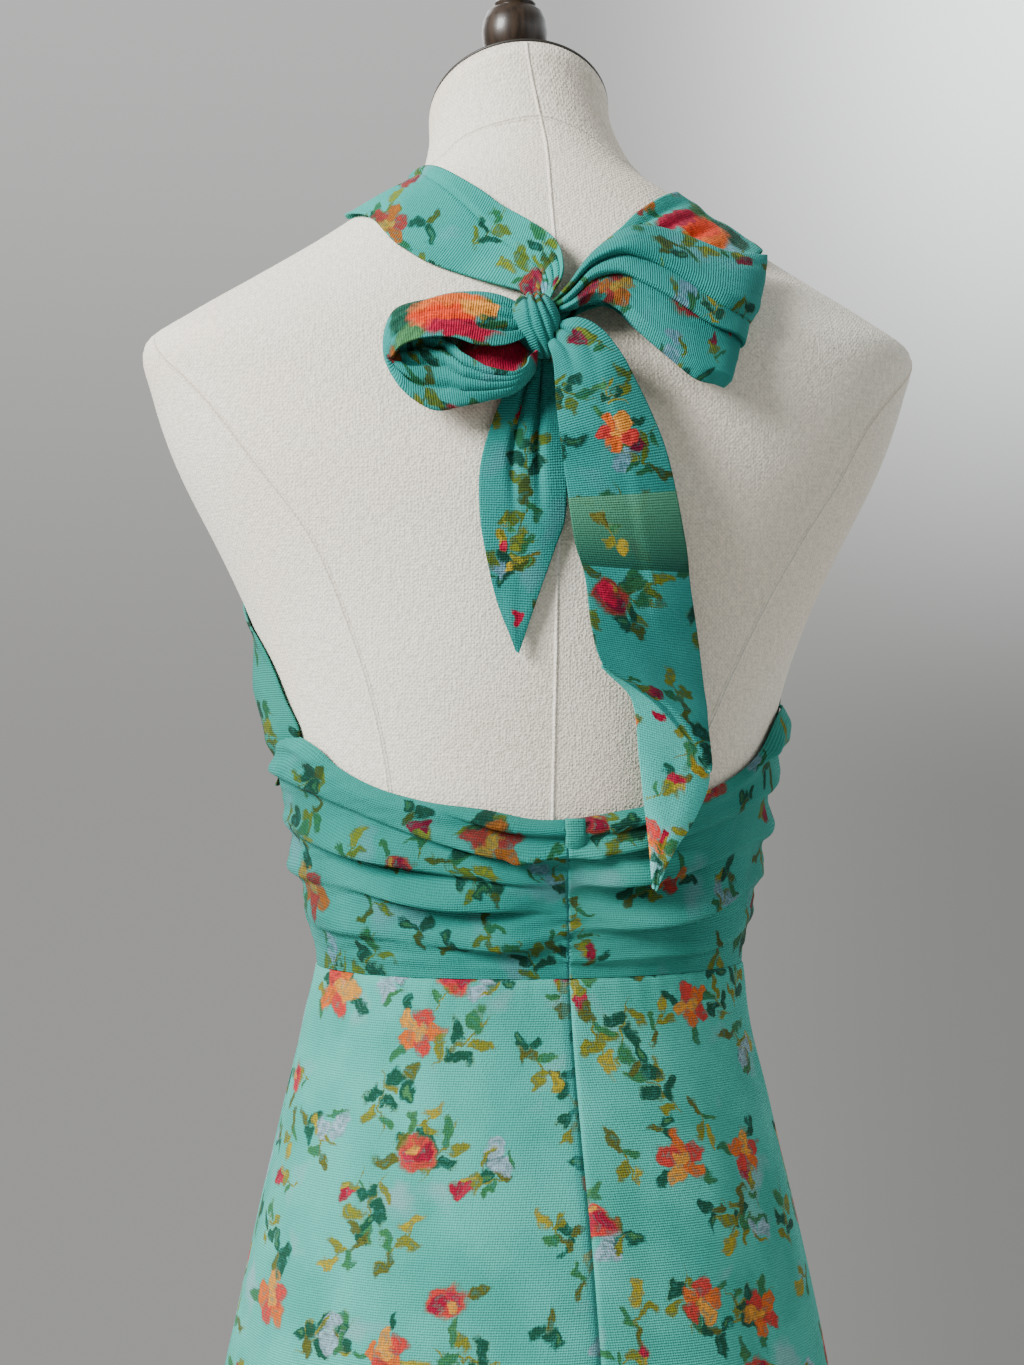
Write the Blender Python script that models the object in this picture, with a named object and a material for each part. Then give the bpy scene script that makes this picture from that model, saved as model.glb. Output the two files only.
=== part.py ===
"""A halter mesh top on a limbless dress form, in metres, +Z up.

The wearer's front faces -Y and the wearer's left is +X. The origin is the centre of the
base's underside. A turn is the angle round the body: 0 at the centre back, 90 degrees at
the wearer's left, 180 at the centre front.
"""
import bpy
import bmesh
from bisect import bisect_right
from math import copysign, cos, exp, pi, radians, sin, sqrt
from typing import NamedTuple
from mathutils import Euler, Vector

# Driving sizes of the garment
WAIST = 0.9945            # height of the seam under the band
HEM = 0.6720              # height of the skirt's edge
BAND_FRONT_TOP = 1.0860   # height of the seam over the band at the front
CLOTH = 0.0016            # wall of a cloth solid
SEAM = 0.0003             # gap between two pieces that are sewn together
BAND_EASE = 0.0021        # space between the form and the band
SIDE_EASE = 0.0100        # how much further the band stands off at the sides
SIDE_EASE_Z = 1.097
SIDE_EASE_REACH = 0.040
SIDE_EASE_TURN = radians(32)
FLUTE_DEPTH = 0.0075      # how far the skirt's flutes stand out at the hem
FOLD_IN_WALL = 0.3        # share of a gather's rise that thickens the wall
PINCH = 0.75              # share of a gather's rise that the centre seam takes away
PINCH_TURN = radians(9)

# Driving sizes of the form and its stand
TORSO_FOOT = 0.7050       # underside of the torso
NECK_TOP = 1.4315         # height of the neck's top rim at the side
NECK_LEAN = 0.0060        # how far the neck's top stands over to the wearer's left
NECK_TILT = 0.6           # slope of the neck's top, up towards the back
BODY_TOP = 1.24           # the torso's rings lie close together over this height
BODY_STEP = 0.030
SHOULDER_STEP = 0.011
BUST_DEPTH = 0.030
BUST_REACH = 0.045
BUST_X = 0.083
BUST_Z = 1.155
BOARD_THICK = 0.0050
PLATE_THICK = 0.0012
POLE_RADIUS = 0.0125
BASE_RADIUS = 0.1700
BASE_TOP = 0.0520


class Ring(NamedTuple):
    """One ring round the body; height is where it crosses the side."""
    height: float
    half_width: float
    back: float
    front: float
    power: float        # 2 is an ellipse, and more is squarer
    rise: float = 0.0   # how far the ring climbs to the centre back
    drop: float = 0.0   # how far it falls to the centre front
    bow: float = 1.6    # 1 keeps the ring in a plane


class Edge(NamedTuple):
    """A height at a turn, in degrees."""
    turn: float
    height: float


class Gather(NamedTuple):
    """A ridge of gathered cloth that runs round the band."""
    centre: float       # its height at the centre seam
    side: float         # its height at the side seam
    rise: float
    width: float


class Flute(NamedTuple):
    """A soft upright fold in the skirt."""
    turn: float
    width: float
    share: float        # of the full depth


class Lay(NamedTuple):
    """A line across a strip that lies on the form, from its outer to its inner edge."""
    outer_turn: float
    outer_height: float
    inner_turn: float
    inner_height: float
    outer_lift: float
    inner_lift: float


class Hang(NamedTuple):
    """A line across a ribbon behind the back; each edge's lift is its distance from the form."""
    left_x: float
    left_z: float
    left_lift: float
    right_x: float
    right_z: float
    right_lift: float
    crown: float        # how far the middle stands over the edges


TORSO = [
    #    height, half_width, back,  front, power
    Ring(0.705, 0.1490, 0.1080, 0.0920, 2.20),
    Ring(0.750, 0.1500, 0.1135, 0.0945, 2.20),
    Ring(0.783, 0.1480, 0.1150, 0.0960, 2.20),
    Ring(0.817, 0.1430, 0.1130, 0.0960, 2.20),
    Ring(0.869, 0.1320, 0.1035, 0.0940, 2.15),
    Ring(0.921, 0.1200, 0.0900, 0.0900, 2.10),
    Ring(0.960, 0.1110, 0.0795, 0.0865, 2.10),
    Ring(0.992, 0.1070, 0.0750, 0.0855, 2.10),
    Ring(1.025, 0.1125, 0.0775, 0.0880, 2.10),
    Ring(1.051, 0.1165, 0.0815, 0.0920, 2.10),
    Ring(1.098, 0.1232, 0.0885, 0.0990, 2.15),
    Ring(1.139, 0.1327, 0.0955, 0.1040, 2.20),
    Ring(1.170, 0.1442, 0.0995, 0.1065, 2.20),
    Ring(1.200, 0.1580, 0.1025, 0.1070, 2.25),
    Ring(1.248, 0.1820, 0.1050, 0.1030, 2.35),
    Ring(1.285, 0.1945, 0.1010, 0.0900, 2.50, drop=0.006),
    Ring(1.308, 0.1975, 0.0955, 0.0780, 2.60, drop=0.012),
    Ring(1.322, 0.1780, 0.0905, 0.0690, 2.50, 0.003, 0.017),
    Ring(1.340, 0.1475, 0.0830, 0.0600, 2.30, 0.007, 0.023),
    Ring(1.358, 0.1170, 0.0740, 0.0530, 2.15, 0.011, 0.030),
    Ring(1.3745, 0.0912, 0.0655, 0.0480, 2.05, 0.014, 0.034),
    Ring(1.388, 0.0665, 0.0580, 0.0465, 2.00, 0.015, 0.035),
    Ring(1.399, 0.0560, 0.0525, 0.0470, 2.00, 0.016, 0.034, 1.5),
    Ring(1.4105, 0.0500, 0.0485, 0.0500, 2.00, 0.020, 0.033, 1.3),
    Ring(1.421, 0.0470, 0.0460, 0.0525, 2.00, 0.024, 0.0325, 1.1),
    Ring(NECK_TOP, 0.0465, 0.0450, 0.0540, 2.00, 0.0450 * NECK_TILT, 0.0540 * NECK_TILT, 1.0),
]

# The skirt's inner face
SKIRT = [
    #    height, half_width, back,  front, power
    Ring(HEM, 0.1745, 0.1420, 0.1230, 2.10),
    Ring(0.730, 0.1630, 0.1345, 0.1150, 2.10),
    Ring(0.783, 0.1535, 0.1265, 0.1080, 2.12),
    Ring(0.817, 0.1467, 0.1190, 0.1035, 2.15),
    Ring(0.869, 0.1354, 0.1085, 0.0985, 2.15),
    Ring(0.921, 0.1234, 0.0940, 0.0935, 2.10),
    Ring(0.960, 0.1140, 0.0825, 0.0900, 2.10),
    Ring(WAIST, 0.1095, 0.0773, 0.0878, 2.10),
]

# The turn of the seam between the left back of the band and the front, which leans to the back
# over the band's front top, where the left cup's edge meets it
LEFT_SEAM = [(1.080, 90.0), (1.087, 88.0), (1.0965, 78.5), (1.1065, 68.0), (1.130, 68.0)]

# The turn of the centre back seam, which drifts to the wearer's right as it falls
BACK_SEAM = [(HEM, -7.0), (0.818, -6.0), (WAIST, -4.2), (1.080, -2.4)]

BAND_BACK_TOP = [
    Edge(-90, 1.127), Edge(-72, 1.122), Edge(-60, 1.102), Edge(-49, 1.091), Edge(-38, 1.0835),
    Edge(-19, 1.0765), Edge(0, 1.0715), Edge(13, 1.0765), Edge(25, 1.0795), Edge(36, 1.084),
    Edge(45, 1.0890), Edge(57, 1.0975), Edge(68, 1.1065), Edge(90, 1.1065),
]

GATHERS_LEFT = [
    Gather(1.0655, 1.119, 0.0036, 0.0062),
    Gather(1.0540, 1.098, 0.0040, 0.0062),
    Gather(1.0430, 1.069, 0.0046, 0.0065),
    Gather(1.0290, 1.047, 0.0042, 0.0060),
    Gather(1.0120, 1.022, 0.0030, 0.0080),
]
GATHERS_RIGHT = [
    Gather(1.0655, 1.119, 0.0036, 0.0062),
    Gather(1.0560, 1.095, 0.0036, 0.0060),
    Gather(1.0430, 1.069, 0.0046, 0.0065),
    Gather(1.0210, 1.043, 0.0042, 0.0070),
    Gather(1.0020, 1.020, 0.0024, 0.0060),
]
GATHERS_FRONT = [
    Gather(1.0740, 1.069, 0.0034, 0.0065),
    Gather(1.0500, 1.047, 0.0040, 0.0065),
    Gather(1.0210, 1.021, 0.0034, 0.0075),
]

FLUTES = [
    Flute(-167, 12, 0.80), Flute(-136, 11, 1.00), Flute(-107, 12, 0.70), Flute(-60, 11, 0.95),
    Flute(-31, 12, 0.70), Flute(2, 12, 0.45), Flute(31, 12, 0.75), Flute(58, 11, 1.00),
    Flute(80, 9, 0.50), Flute(119, 12, 1.00), Flute(147, 12, 0.70), Flute(174, 10, 0.90),
]

CUP_LEFT = [
    #   outer edge,     inner edge,    lifts
    Lay(89, BAND_FRONT_TOP + SEAM, 180, BAND_FRONT_TOP + SEAM, 0.0130, BAND_EASE),
    Lay(66, 1.110, 180, 1.113, 0.0060, BAND_EASE),
    Lay(72.5, 1.131, 178, 1.138, 0.0050, BAND_EASE),
    Lay(85, 1.160, 176, 1.166, 0.0046, 0.0026),
    Lay(108, 1.187, 174, 1.194, 0.0042, 0.0026),
    Lay(128, 1.218, 171, 1.226, 0.0030, 0.0026),
    Lay(142, 1.260, 169, 1.265, 0.0021, 0.0021),
    Lay(151, 1.300, 168, 1.308, 0.0018, 0.0018),
    Lay(142, 1.335, 159, 1.348, 0.0014, 0.0014),
    Lay(124, 1.358, 140, 1.374, 0.0015, 0.0015),
    Lay(90.5, 1.3745, 90.5, 1.4050, 0.0017, 0.0017),
]
CUP_RIGHT = [
    Lay(90, BAND_FRONT_TOP + SEAM, 180, BAND_FRONT_TOP + SEAM, 0.0130, BAND_EASE),
    Lay(90, 1.127, 180, 1.122, 0.0060, BAND_EASE),
    Lay(105, 1.168, 175, 1.170, 0.0045, 0.0026),
    Lay(126, 1.210, 171, 1.215, 0.0030, 0.0026),
    Lay(142, 1.258, 169, 1.262, 0.0021, 0.0021),
    Lay(151, 1.300, 168, 1.308, 0.0018, 0.0018),
    Lay(142, 1.335, 159, 1.348, 0.0014, 0.0014),
    Lay(124, 1.358, 140, 1.374, 0.0015, 0.0015),
    Lay(90.5, 1.3745, 90.5, 1.4050, 0.0017, 0.0017),
]
STRAP_LEFT = [
    Lay(90, 1.3745, 90, 1.4050, 0.0017, 0.0017),
    Lay(50, 1.3610, 58, 1.3940, 0.0016, 0.0017),
    Lay(27.6, 1.3421, 35, 1.3791, 0.0013, 0.0014),
    Lay(18.9, 1.3342, 19.2, 1.3668, 0.0012, 0.0012),
    Lay(11.9, 1.3290, 10.2, 1.3576, 0.0012, 0.0012),
    Lay(5.4, 1.3235, 3.7, 1.3498, 0.0028, 0.0028),
    Lay(2.8, 1.3200, 0.1, 1.3420, 0.0052, 0.0052),
    Lay(1.7, 1.3130, -0.5, 1.3300, 0.0080, 0.0080),
    Lay(1.2, 1.3060, 0.5, 1.3150, 0.0100, 0.0100),
]
STRAP_RIGHT = [
    Lay(-90, 1.3590, -90, 1.3903, 0.0012, 0.0012),
    Lay(-62, 1.3525, -60, 1.3830, 0.0012, 0.0012),
    Lay(-36, 1.3385, -36, 1.3719, 0.0012, 0.0012),
    Lay(-22.4, 1.3305, -20.6, 1.3583, 0.0012, 0.0012),
    Lay(-11.8, 1.3235, -13, 1.3498, 0.0012, 0.0012),
    Lay(-5.1, 1.3180, -7.3, 1.3420, 0.0010, 0.0010),
    Lay(-1.8, 1.3140, -3.0, 1.3330, 0.0016, 0.0016),
    Lay(-0.4, 1.3080, -0.9, 1.3230, 0.0028, 0.0028),
    Lay(0.6, 1.3040, 0.6, 1.3120, 0.0050, 0.0050),
]

TAIL_RIGHT = [
    Hang(0.0050, 1.2990, 0.0140, 0.0010, 1.3050, 0.0140, 0.0000),
    Hang(0.0052, 1.2925, 0.0175, -0.0090, 1.3080, 0.0185, 0.0010),
    Hang(0.0050, 1.2870, 0.0185, -0.0190, 1.3025, 0.0195, 0.0020),
    Hang(0.0045, 1.2780, 0.0180, -0.0270, 1.2920, 0.0185, 0.0030),
    Hang(0.0040, 1.2690, 0.0165, -0.0329, 1.2808, 0.0165, 0.0040),
    Hang(0.0020, 1.2530, 0.0145, -0.0412, 1.2650, 0.0145, 0.0040),
    Hang(-0.0007, 1.2367, 0.0125, -0.0498, 1.2440, 0.0125, 0.0030),
    Hang(-0.0056, 1.2054, 0.0105, -0.0592, 1.2051, 0.0105, 0.0030),
    Hang(-0.0105, 1.1885, 0.0100, -0.0621, 1.1857, 0.0100, 0.0030),
    Hang(-0.0140, 1.1640, 0.0100, -0.0675, 1.1580, 0.0100, 0.0025),
    Hang(-0.0201, 1.1459, 0.0105, -0.0712, 1.1344, 0.0105, 0.0025),
    Hang(-0.0357, 1.1296, 0.0110, -0.0730, 1.1190, 0.0110, 0.0020),
    Hang(-0.0402, 1.1012, 0.0122, -0.0758, 1.0920, 0.0125, 0.0020),
    Hang(-0.0430, 1.0810, 0.0130, -0.0680, 1.0710, 0.0135, 0.0015),
    Hang(-0.0460, 1.0620, 0.0135, -0.0580, 1.0556, 0.0138, 0.0010),
    Hang(-0.0486, 1.0385, 0.0135, -0.0504, 1.0370, 0.0135, 0.0000),
]
TAIL_LEFT = [
    Hang(0.0120, 1.3010, 0.0060, 0.0060, 1.3000, 0.0060, 0.0000),
    Hang(0.0160, 1.2890, 0.0040, 0.0030, 1.2890, 0.0040, 0.0006),
    Hang(0.0274, 1.2720, 0.0035, -0.0009, 1.2717, 0.0035, 0.0010),
    Hang(0.0372, 1.2437, 0.0035, -0.0024, 1.2480, 0.0035, 0.0014),
    Hang(0.0380, 1.2192, 0.0035, -0.0028, 1.2180, 0.0035, 0.0014),
    Hang(0.0350, 1.2000, 0.0035, 0.0020, 1.2020, 0.0035, 0.0012),
    Hang(0.0295, 1.1772, 0.0035, 0.0110, 1.1760, 0.0035, 0.0008),
    Hang(0.0230, 1.1605, 0.0035, 0.0165, 1.1590, 0.0035, 0.0003),
    Hang(0.0200, 1.1530, 0.0035, 0.0185, 1.1523, 0.0035, 0.0000),
]

# The right loop runs out along its top layer, folds at its tip and returns beneath
LOOP_RIGHT_OUT = [
    Hang(0.0030, 1.3190, 0.0120, 0.0030, 1.3130, 0.0120, 0.0000),
    Hang(-0.0036, 1.3250, 0.0160, -0.0060, 1.3145, 0.0165, 0.0010),
    Hang(-0.0148, 1.3408, 0.0175, -0.0163, 1.3189, 0.0185, 0.0030),
    Hang(-0.0290, 1.3530, 0.0185, -0.0270, 1.3145, 0.0195, 0.0040),
    Hang(-0.0418, 1.3579, 0.0190, -0.0367, 1.3035, 0.0200, 0.0045),
    Hang(-0.0600, 1.3556, 0.0190, -0.0490, 1.2925, 0.0200, 0.0045),
    Hang(-0.0840, 1.3478, 0.0180, -0.0630, 1.2818, 0.0190, 0.0040),
    Hang(-0.1020, 1.3485, 0.0160, -0.0730, 1.2795, 0.0170, 0.0030),
    Hang(-0.1095, 1.3497, 0.0150, -0.0783, 1.2785, 0.0145, 0.0000),
]
LOOP_RIGHT_BACK = [
    Hang(-0.1020, 1.3470, 0.0100, -0.0730, 1.2815, 0.0100, -0.0052),
    Hang(-0.0840, 1.3455, 0.0085, -0.0630, 1.2850, 0.0088, -0.0045),
    Hang(-0.0600, 1.3510, 0.0080, -0.0490, 1.2960, 0.0080, -0.0032),
    Hang(-0.0418, 1.3510, 0.0072, -0.0367, 1.3070, 0.0080, -0.0020),
    Hang(-0.0290, 1.3450, 0.0072, -0.0270, 1.3165, 0.0080, -0.0010),
    Hang(-0.0148, 1.3340, 0.0080, -0.0163, 1.3185, 0.0085, 0.0000),
    Hang(-0.0030, 1.3210, 0.0085, -0.0050, 1.3150, 0.0090, 0.0000),
    Hang(0.0045, 1.3160, 0.0085, 0.0045, 1.3120, 0.0085, 0.0000),
]

# The left loop is a twisted ring; its left edge here is the one that faces outwards
LOOP_LEFT_OUT = [
    Hang(0.0120, 1.3030, 0.0140, 0.0120, 1.3120, 0.0100, 0.0000),
    Hang(0.0255, 1.2965, 0.0210, 0.0215, 1.3185, 0.0120, 0.0020),
    Hang(0.0400, 1.2950, 0.0240, 0.0340, 1.3228, 0.0115, 0.0030),
    Hang(0.0520, 1.2985, 0.0250, 0.0480, 1.3232, 0.0110, 0.0030),
    Hang(0.0640, 1.2985, 0.0245, 0.0620, 1.3190, 0.0100, 0.0030),
    Hang(0.0770, 1.2935, 0.0220, 0.0775, 1.3135, 0.0090, 0.0020),
    Hang(0.0803, 1.2830, 0.0190, 0.0830, 1.2990, 0.0080, 0.0015),
    Hang(0.0737, 1.2735, 0.0170, 0.0775, 1.2930, 0.0062, 0.0000),
    Hang(0.0607, 1.2655, 0.0165, 0.0650, 1.2995, 0.0055, -0.0010),
    Hang(0.0480, 1.2668, 0.0175, 0.0510, 1.3040, 0.0055, -0.0015),
    Hang(0.0356, 1.2692, 0.0175, 0.0367, 1.3045, 0.0055, -0.0015),
    Hang(0.0225, 1.2735, 0.0165, 0.0240, 1.3030, 0.0060, -0.0010),
    Hang(0.0135, 1.2830, 0.0145, 0.0160, 1.3010, 0.0075, 0.0000),
    Hang(0.0090, 1.2970, 0.0130, 0.0105, 1.3010, 0.0095, 0.0000),
]

KNOT_CENTRE = Vector((0.0105, 0.1085, 1.3065))
KNOT_RADII = Vector((0.0112, 0.0115, 0.0165))
KNOT_LEAN = radians(18)
KNOT_GROOVES = (-0.0060, -0.0012, 0.0044)   # places of its pleats, across it
KNOT_GROOVE_DEPTH = 0.0016
KNOT_GROOVE_WIDTH = 0.0016

# Half turned profiles as (radius, height), from the bottom up
FINIAL_CENTRE = Vector((0.0074, -0.0045, 0.0))
FINIAL = [
    (0.0130, 1.4480), (0.0135, 1.4505), (0.0115, 1.4535), (0.0092, 1.4560), (0.0100, 1.4595),
    (0.0140, 1.4640), (0.0165, 1.4700), (0.0173, 1.4760), (0.0166, 1.4820), (0.0143, 1.4872),
    (0.0106, 1.4898), (0.0110, 1.4912), (0.0098, 1.4926), (0.0088, 1.4960), (0.0092, 1.5010),
    (0.0112, 1.5060), (0.0118, 1.5110), (0.0100, 1.5165), (0.0058, 1.5200), (0.0015, 1.5212),
]
BASE = [
    (BASE_RADIUS, 0.0), (BASE_RADIUS, 0.0150), (0.1670, 0.0200), (0.1580, 0.0235), (0.1100, 0.0290),
    (0.0500, 0.0340), (0.0300, 0.0380), (0.0240, 0.0440), (0.0220, BASE_TOP),
]


def hermite(a, b, leave, arrive, t):
    """A smooth step from a to b, with the slopes at its ends."""
    return ((2 * t**3 - 3 * t**2 + 1) * a + (t**3 - 2 * t**2 + t) * leave
            + (3 * t**2 - 2 * t**3) * b + (t**3 - t**2) * arrive)


def row_at(table, key):
    """The row of a table at a value of its first column, on a smooth curve."""
    i = min(max(bisect_right([row[0] for row in table], key) - 1, 0), len(table) - 2)
    a, b = table[i], table[i + 1]
    before, after = table[max(i - 1, 0)], table[min(i + 2, len(table) - 1)]
    span = b[0] - a[0]
    t = min(max((key - a[0]) / span, 0.0), 1.0)
    values = []
    for k in range(len(a)):
        leave = (b[k] - before[k]) / (b[0] - before[0]) * span
        arrive = (after[k] - a[k]) / (after[0] - a[0]) * span
        values.append(hermite(a[k], b[k], leave, arrive, t))
    return values


def row_along(table, share):
    """The row a share of the way through a table, on a smooth curve."""
    place = share * (len(table) - 1)
    i = min(int(place), len(table) - 2)
    a, b = table[i], table[i + 1]
    before, after = table[max(i - 1, 0)], table[min(i + 2, len(table) - 1)]
    return type(a)(*(hermite(a[k], b[k], (b[k] - before[k]) / 2, (after[k] - a[k]) / 2, place - i)
                     for k in range(len(a))))


def ring_at(table, height):
    return Ring(*row_at([tuple(row) for row in table], height))


def mix(a, b, share):
    return a + (b - a) * share


def smooth(share):
    share = min(max(share, 0.0), 1.0)
    return share * share * (3 - 2 * share)


def hill(distance, width):
    return exp(-(distance / width) ** 2)


def ring_point(ring, turn):
    """A point on a ring that is squarer than an ellipse where its power is over 2."""
    across = copysign(abs(sin(turn)) ** (2 / ring.power), sin(turn))
    deep = abs(cos(turn)) ** (2 / ring.power)
    if cos(turn) > 0:
        return Vector((ring.half_width * across, ring.back * deep,
                       ring.height + ring.rise * deep ** ring.bow))
    return Vector((ring.half_width * across, -ring.front * deep,
                   ring.height - ring.drop * deep ** ring.bow))


def form_point(turn, height):
    """A point on the torso's surface."""
    point = ring_point(ring_at(TORSO, height), turn)
    if point.y < 0:
        fade = min(1.0, -point.y / (BUST_X / 2))
        for side in (1, -1):
            far = sqrt((point.x - side * BUST_X) ** 2 + (point.z - BUST_Z) ** 2)
            point.y -= BUST_DEPTH * fade * hill(far, BUST_REACH)
    point.x += NECK_LEAN * smooth((height - 1.385) / (NECK_TOP - 1.385))
    return point


def off_surface(surface, turn, height, lift, climb=0.0):
    """The point a lift out from a surface; climb is 0 for a level way out and 1 for a square one."""
    step_turn, step_height = 0.01, 0.002
    across = surface(turn + step_turn, height) - surface(turn - step_turn, height)
    up = surface(turn, height + step_height) - surface(turn, height - step_height)
    out = up.cross(across).normalized()
    out.z *= climb
    return surface(turn, height) + out.normalized() * lift


def back_of_form(x, z):
    """How far back the torso reaches at a place behind it."""
    height, depth = z, 0.0
    for _ in range(6):
        ring = ring_at(TORSO, height)
        share = min(abs(x) / ring.half_width, 1.0)
        deep = (1 - share ** ring.power) ** (1 / ring.power)
        depth = ring.back * deep
        height = z - ring.rise * deep ** ring.bow
    return depth


def back_seam_turn(height):
    return radians(row_at(BACK_SEAM, height)[1])


def left_seam_turn(height):
    return radians(row_at(LEFT_SEAM, height)[1])


def material(name, colour, roughness, metallic=0.0):
    """A plain Principled material of a linear colour."""
    made = bpy.data.materials.get(name) or bpy.data.materials.new(name)
    made.use_nodes = True
    shader = made.node_tree.nodes["Principled BSDF"]
    shader.inputs["Base Color"].default_value = (*colour, 1.0)
    shader.inputs["Roughness"].default_value = roughness
    shader.inputs["Metallic"].default_value = metallic
    return made


def mesh_cloth():
    return material("printed_mesh", (0.17, 0.56, 0.49), 0.85)


def linen():
    return material("linen_cover", (0.71, 0.67, 0.60), 0.9)


def turned_wood():
    return material("dark_turned_wood", (0.045, 0.030, 0.018), 0.3)


def painted_steel():
    return material("painted_steel", (0.03, 0.028, 0.026), 0.45)


def finish(name, bm, look):
    """Makes a piece of a closed bmesh, with its faces pointing out."""
    bmesh.ops.recalc_face_normals(bm, faces=bm.faces)
    mesh = bpy.data.meshes.new(name)
    bm.to_mesh(mesh)
    bm.free()
    mesh.shade_smooth()
    mesh.set_sharp_from_angle(angle=radians(40))
    mesh.materials.append(look)
    piece = bpy.data.objects.new(name, mesh)
    bpy.context.scene.collection.objects.link(piece)
    return piece


def wall(name, columns, rows, inner, outer, look):
    """A closed wall of cloth; inner and outer give a point at a share across and a share up."""
    bm = bmesh.new()
    bmesh.ops.create_grid(bm, x_segments=columns, y_segments=rows, size=0.5)
    inside = list(bm.verts)
    raised = bmesh.ops.extrude_face_region(bm, geom=list(bm.faces), use_keep_orig=True)
    outside = [v for v in raised["geom"] if isinstance(v, bmesh.types.BMVert)]
    for verts, place in ((inside, inner), (outside, outer)):
        for v in verts:
            v.co = place(v.co.x + 0.5, v.co.y + 0.5)
    return finish(name, bm, look)


def round_body(name, columns, rows, place, look):
    """A closed body of rings, capped at both ends; place gives a point at a turn and a share up."""
    bm = bmesh.new()
    bmesh.ops.create_grid(bm, x_segments=columns, y_segments=rows, size=0.5)
    for v in bm.verts:
        v.co = place((v.co.x + 0.5) * 2 * pi, v.co.y + 0.5)
    bmesh.ops.remove_doubles(bm, verts=bm.verts, dist=0.00001)
    bmesh.ops.holes_fill(bm, edges=[e for e in bm.edges if e.is_boundary])
    return finish(name, bm, look)


def turned(name, profile, centre, segments, look, foot=None):
    """A lathe-turned piece; foot, if given, is the slope that its underside is cut to."""
    bm = bmesh.new()
    verts = [bm.verts.new(centre + Vector((radius, 0, height))) for radius, height in profile]
    lines = [bm.edges.new(pair) for pair in zip(verts, verts[1:])]
    bmesh.ops.spin(bm, geom=verts + lines, cent=centre, axis=(0, 0, 1), angle=2 * pi,
                   steps=segments, use_merge=True, dvec=(0, 0, 0))
    if foot is not None:
        lowest = min(v.co.z for v in bm.verts)
        for v in bm.verts:
            if v.co.z < lowest + 0.0001:
                v.co.z = foot(v.co.x, v.co.y)
    bmesh.ops.holes_fill(bm, edges=[e for e in bm.edges if e.is_boundary])
    return finish(name, bm, look)


def torso_heights():
    """The heights of the torso's rings, close together where the shoulders slope to the neck."""
    heights = [TORSO_FOOT]
    for low, high in zip(TORSO, TORSO[1:]):
        step = SHOULDER_STEP if low.height > BODY_TOP else BODY_STEP
        length = sqrt((high.height - low.height) ** 2 + (high.half_width - low.half_width) ** 2)
        count = max(round(length / step), 1)
        heights += [mix(low.height, high.height, (k + 1) / count) for k in range(count)]
    return heights


def make_torso():
    """The linen covered body and neck."""
    heights = torso_heights()

    def place(turn, share):
        return form_point(turn, heights[round(share * (len(heights) - 1))])
    return round_body("torso", 42, len(heights) - 1, place, linen())


def neck_plane(x, y):
    """The height of the neck's sloping top."""
    return NECK_TOP + NECK_TILT * y


def make_neck_plate():
    """The thin cap on the neck."""
    def place(turn, share):
        point = ring_point(TORSO[-1]._replace(rise=0.0, drop=0.0), turn)
        height = neck_plane(point.x, point.y) + SEAM + PLATE_THICK * share
        return Vector((point.x + NECK_LEAN, point.y, height))
    round_body("neck_plate", 40, 1, place, painted_steel())


def make_finial():
    """The turned knob, its foot cut to the neck plate's slope."""
    turned("finial", FINIAL, FINIAL_CENTRE, 18, turned_wood(),
           foot=lambda x, y: neck_plane(x, y) + PLATE_THICK + 2 * SEAM)


def make_stand():
    """The board under the torso, the pole and the round base."""
    board_top = TORSO_FOOT - SEAM
    board_ring = TORSO[0]._replace(half_width=0.1460, back=0.1050, front=0.0890)

    def place(turn, share):
        point = ring_point(board_ring, turn)
        return Vector((point.x, point.y, board_top - BOARD_THICK * (1 - share)))
    round_body("bottom_board", 40, 1, place, turned_wood())
    pole = [(POLE_RADIUS, BASE_TOP + SEAM), (POLE_RADIUS, board_top - BOARD_THICK - SEAM)]
    turned("pole", pole, Vector(), 20, painted_steel())
    turned("base", BASE, Vector(), 36, painted_steel())


def seam_turn(ring, half, width):
    """The turn that half a seam gap takes, where the ring's radius there is width."""
    return (half / width) ** (ring.power / 2)


def panel_turn(ring, start, stop, share):
    """A turn between two seams, in from each by half the seam gap."""
    gap = seam_turn(ring, SEAM / 2, ring.half_width if abs(start) < 1 else ring.back)
    end_gap = seam_turn(ring, SEAM / 2, ring.half_width if abs(stop) < 1 else ring.back)
    return mix(start + gap, stop - end_gap, share)


def skirt_surface(turn, height):
    return ring_point(ring_at(SKIRT, height), turn)


def flute_lift(turn, height):
    """How far the skirt's flutes stand out here."""
    fall = ((WAIST - height) / (WAIST - HEM)) ** 1.5
    lift = 0.0
    for flute in FLUTES:
        apart = (turn - radians(flute.turn) + pi) % (2 * pi) - pi
        lift += flute.share * hill(apart, radians(flute.width))
    return FLUTE_DEPTH * fall * lift


def skirt_panel(name, columns, start, stop):
    """A panel of the skirt; start and stop give its seams' turns at a height."""
    def place(lift, across, up):
        height = mix(HEM, WAIST - SEAM / 2, up)
        turn = panel_turn(ring_at(SKIRT, height), start(height), stop(height), across)
        return off_surface(skirt_surface, turn, height, lift + flute_lift(turn, height))
    wall(name, columns, 9, lambda u, v: place(0.0, u, v), lambda u, v: place(CLOTH, u, v), mesh_cloth())


def make_skirt():
    """The flared lower body: two back panels and a front."""
    skirt_panel("skirt_back_left", 14, back_seam_turn, lambda height: pi / 2)
    skirt_panel("skirt_back_right", 13, lambda height: -pi / 2, back_seam_turn)
    skirt_panel("skirt_front", 26, lambda height: pi / 2, lambda height: 3 * pi / 2)


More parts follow.
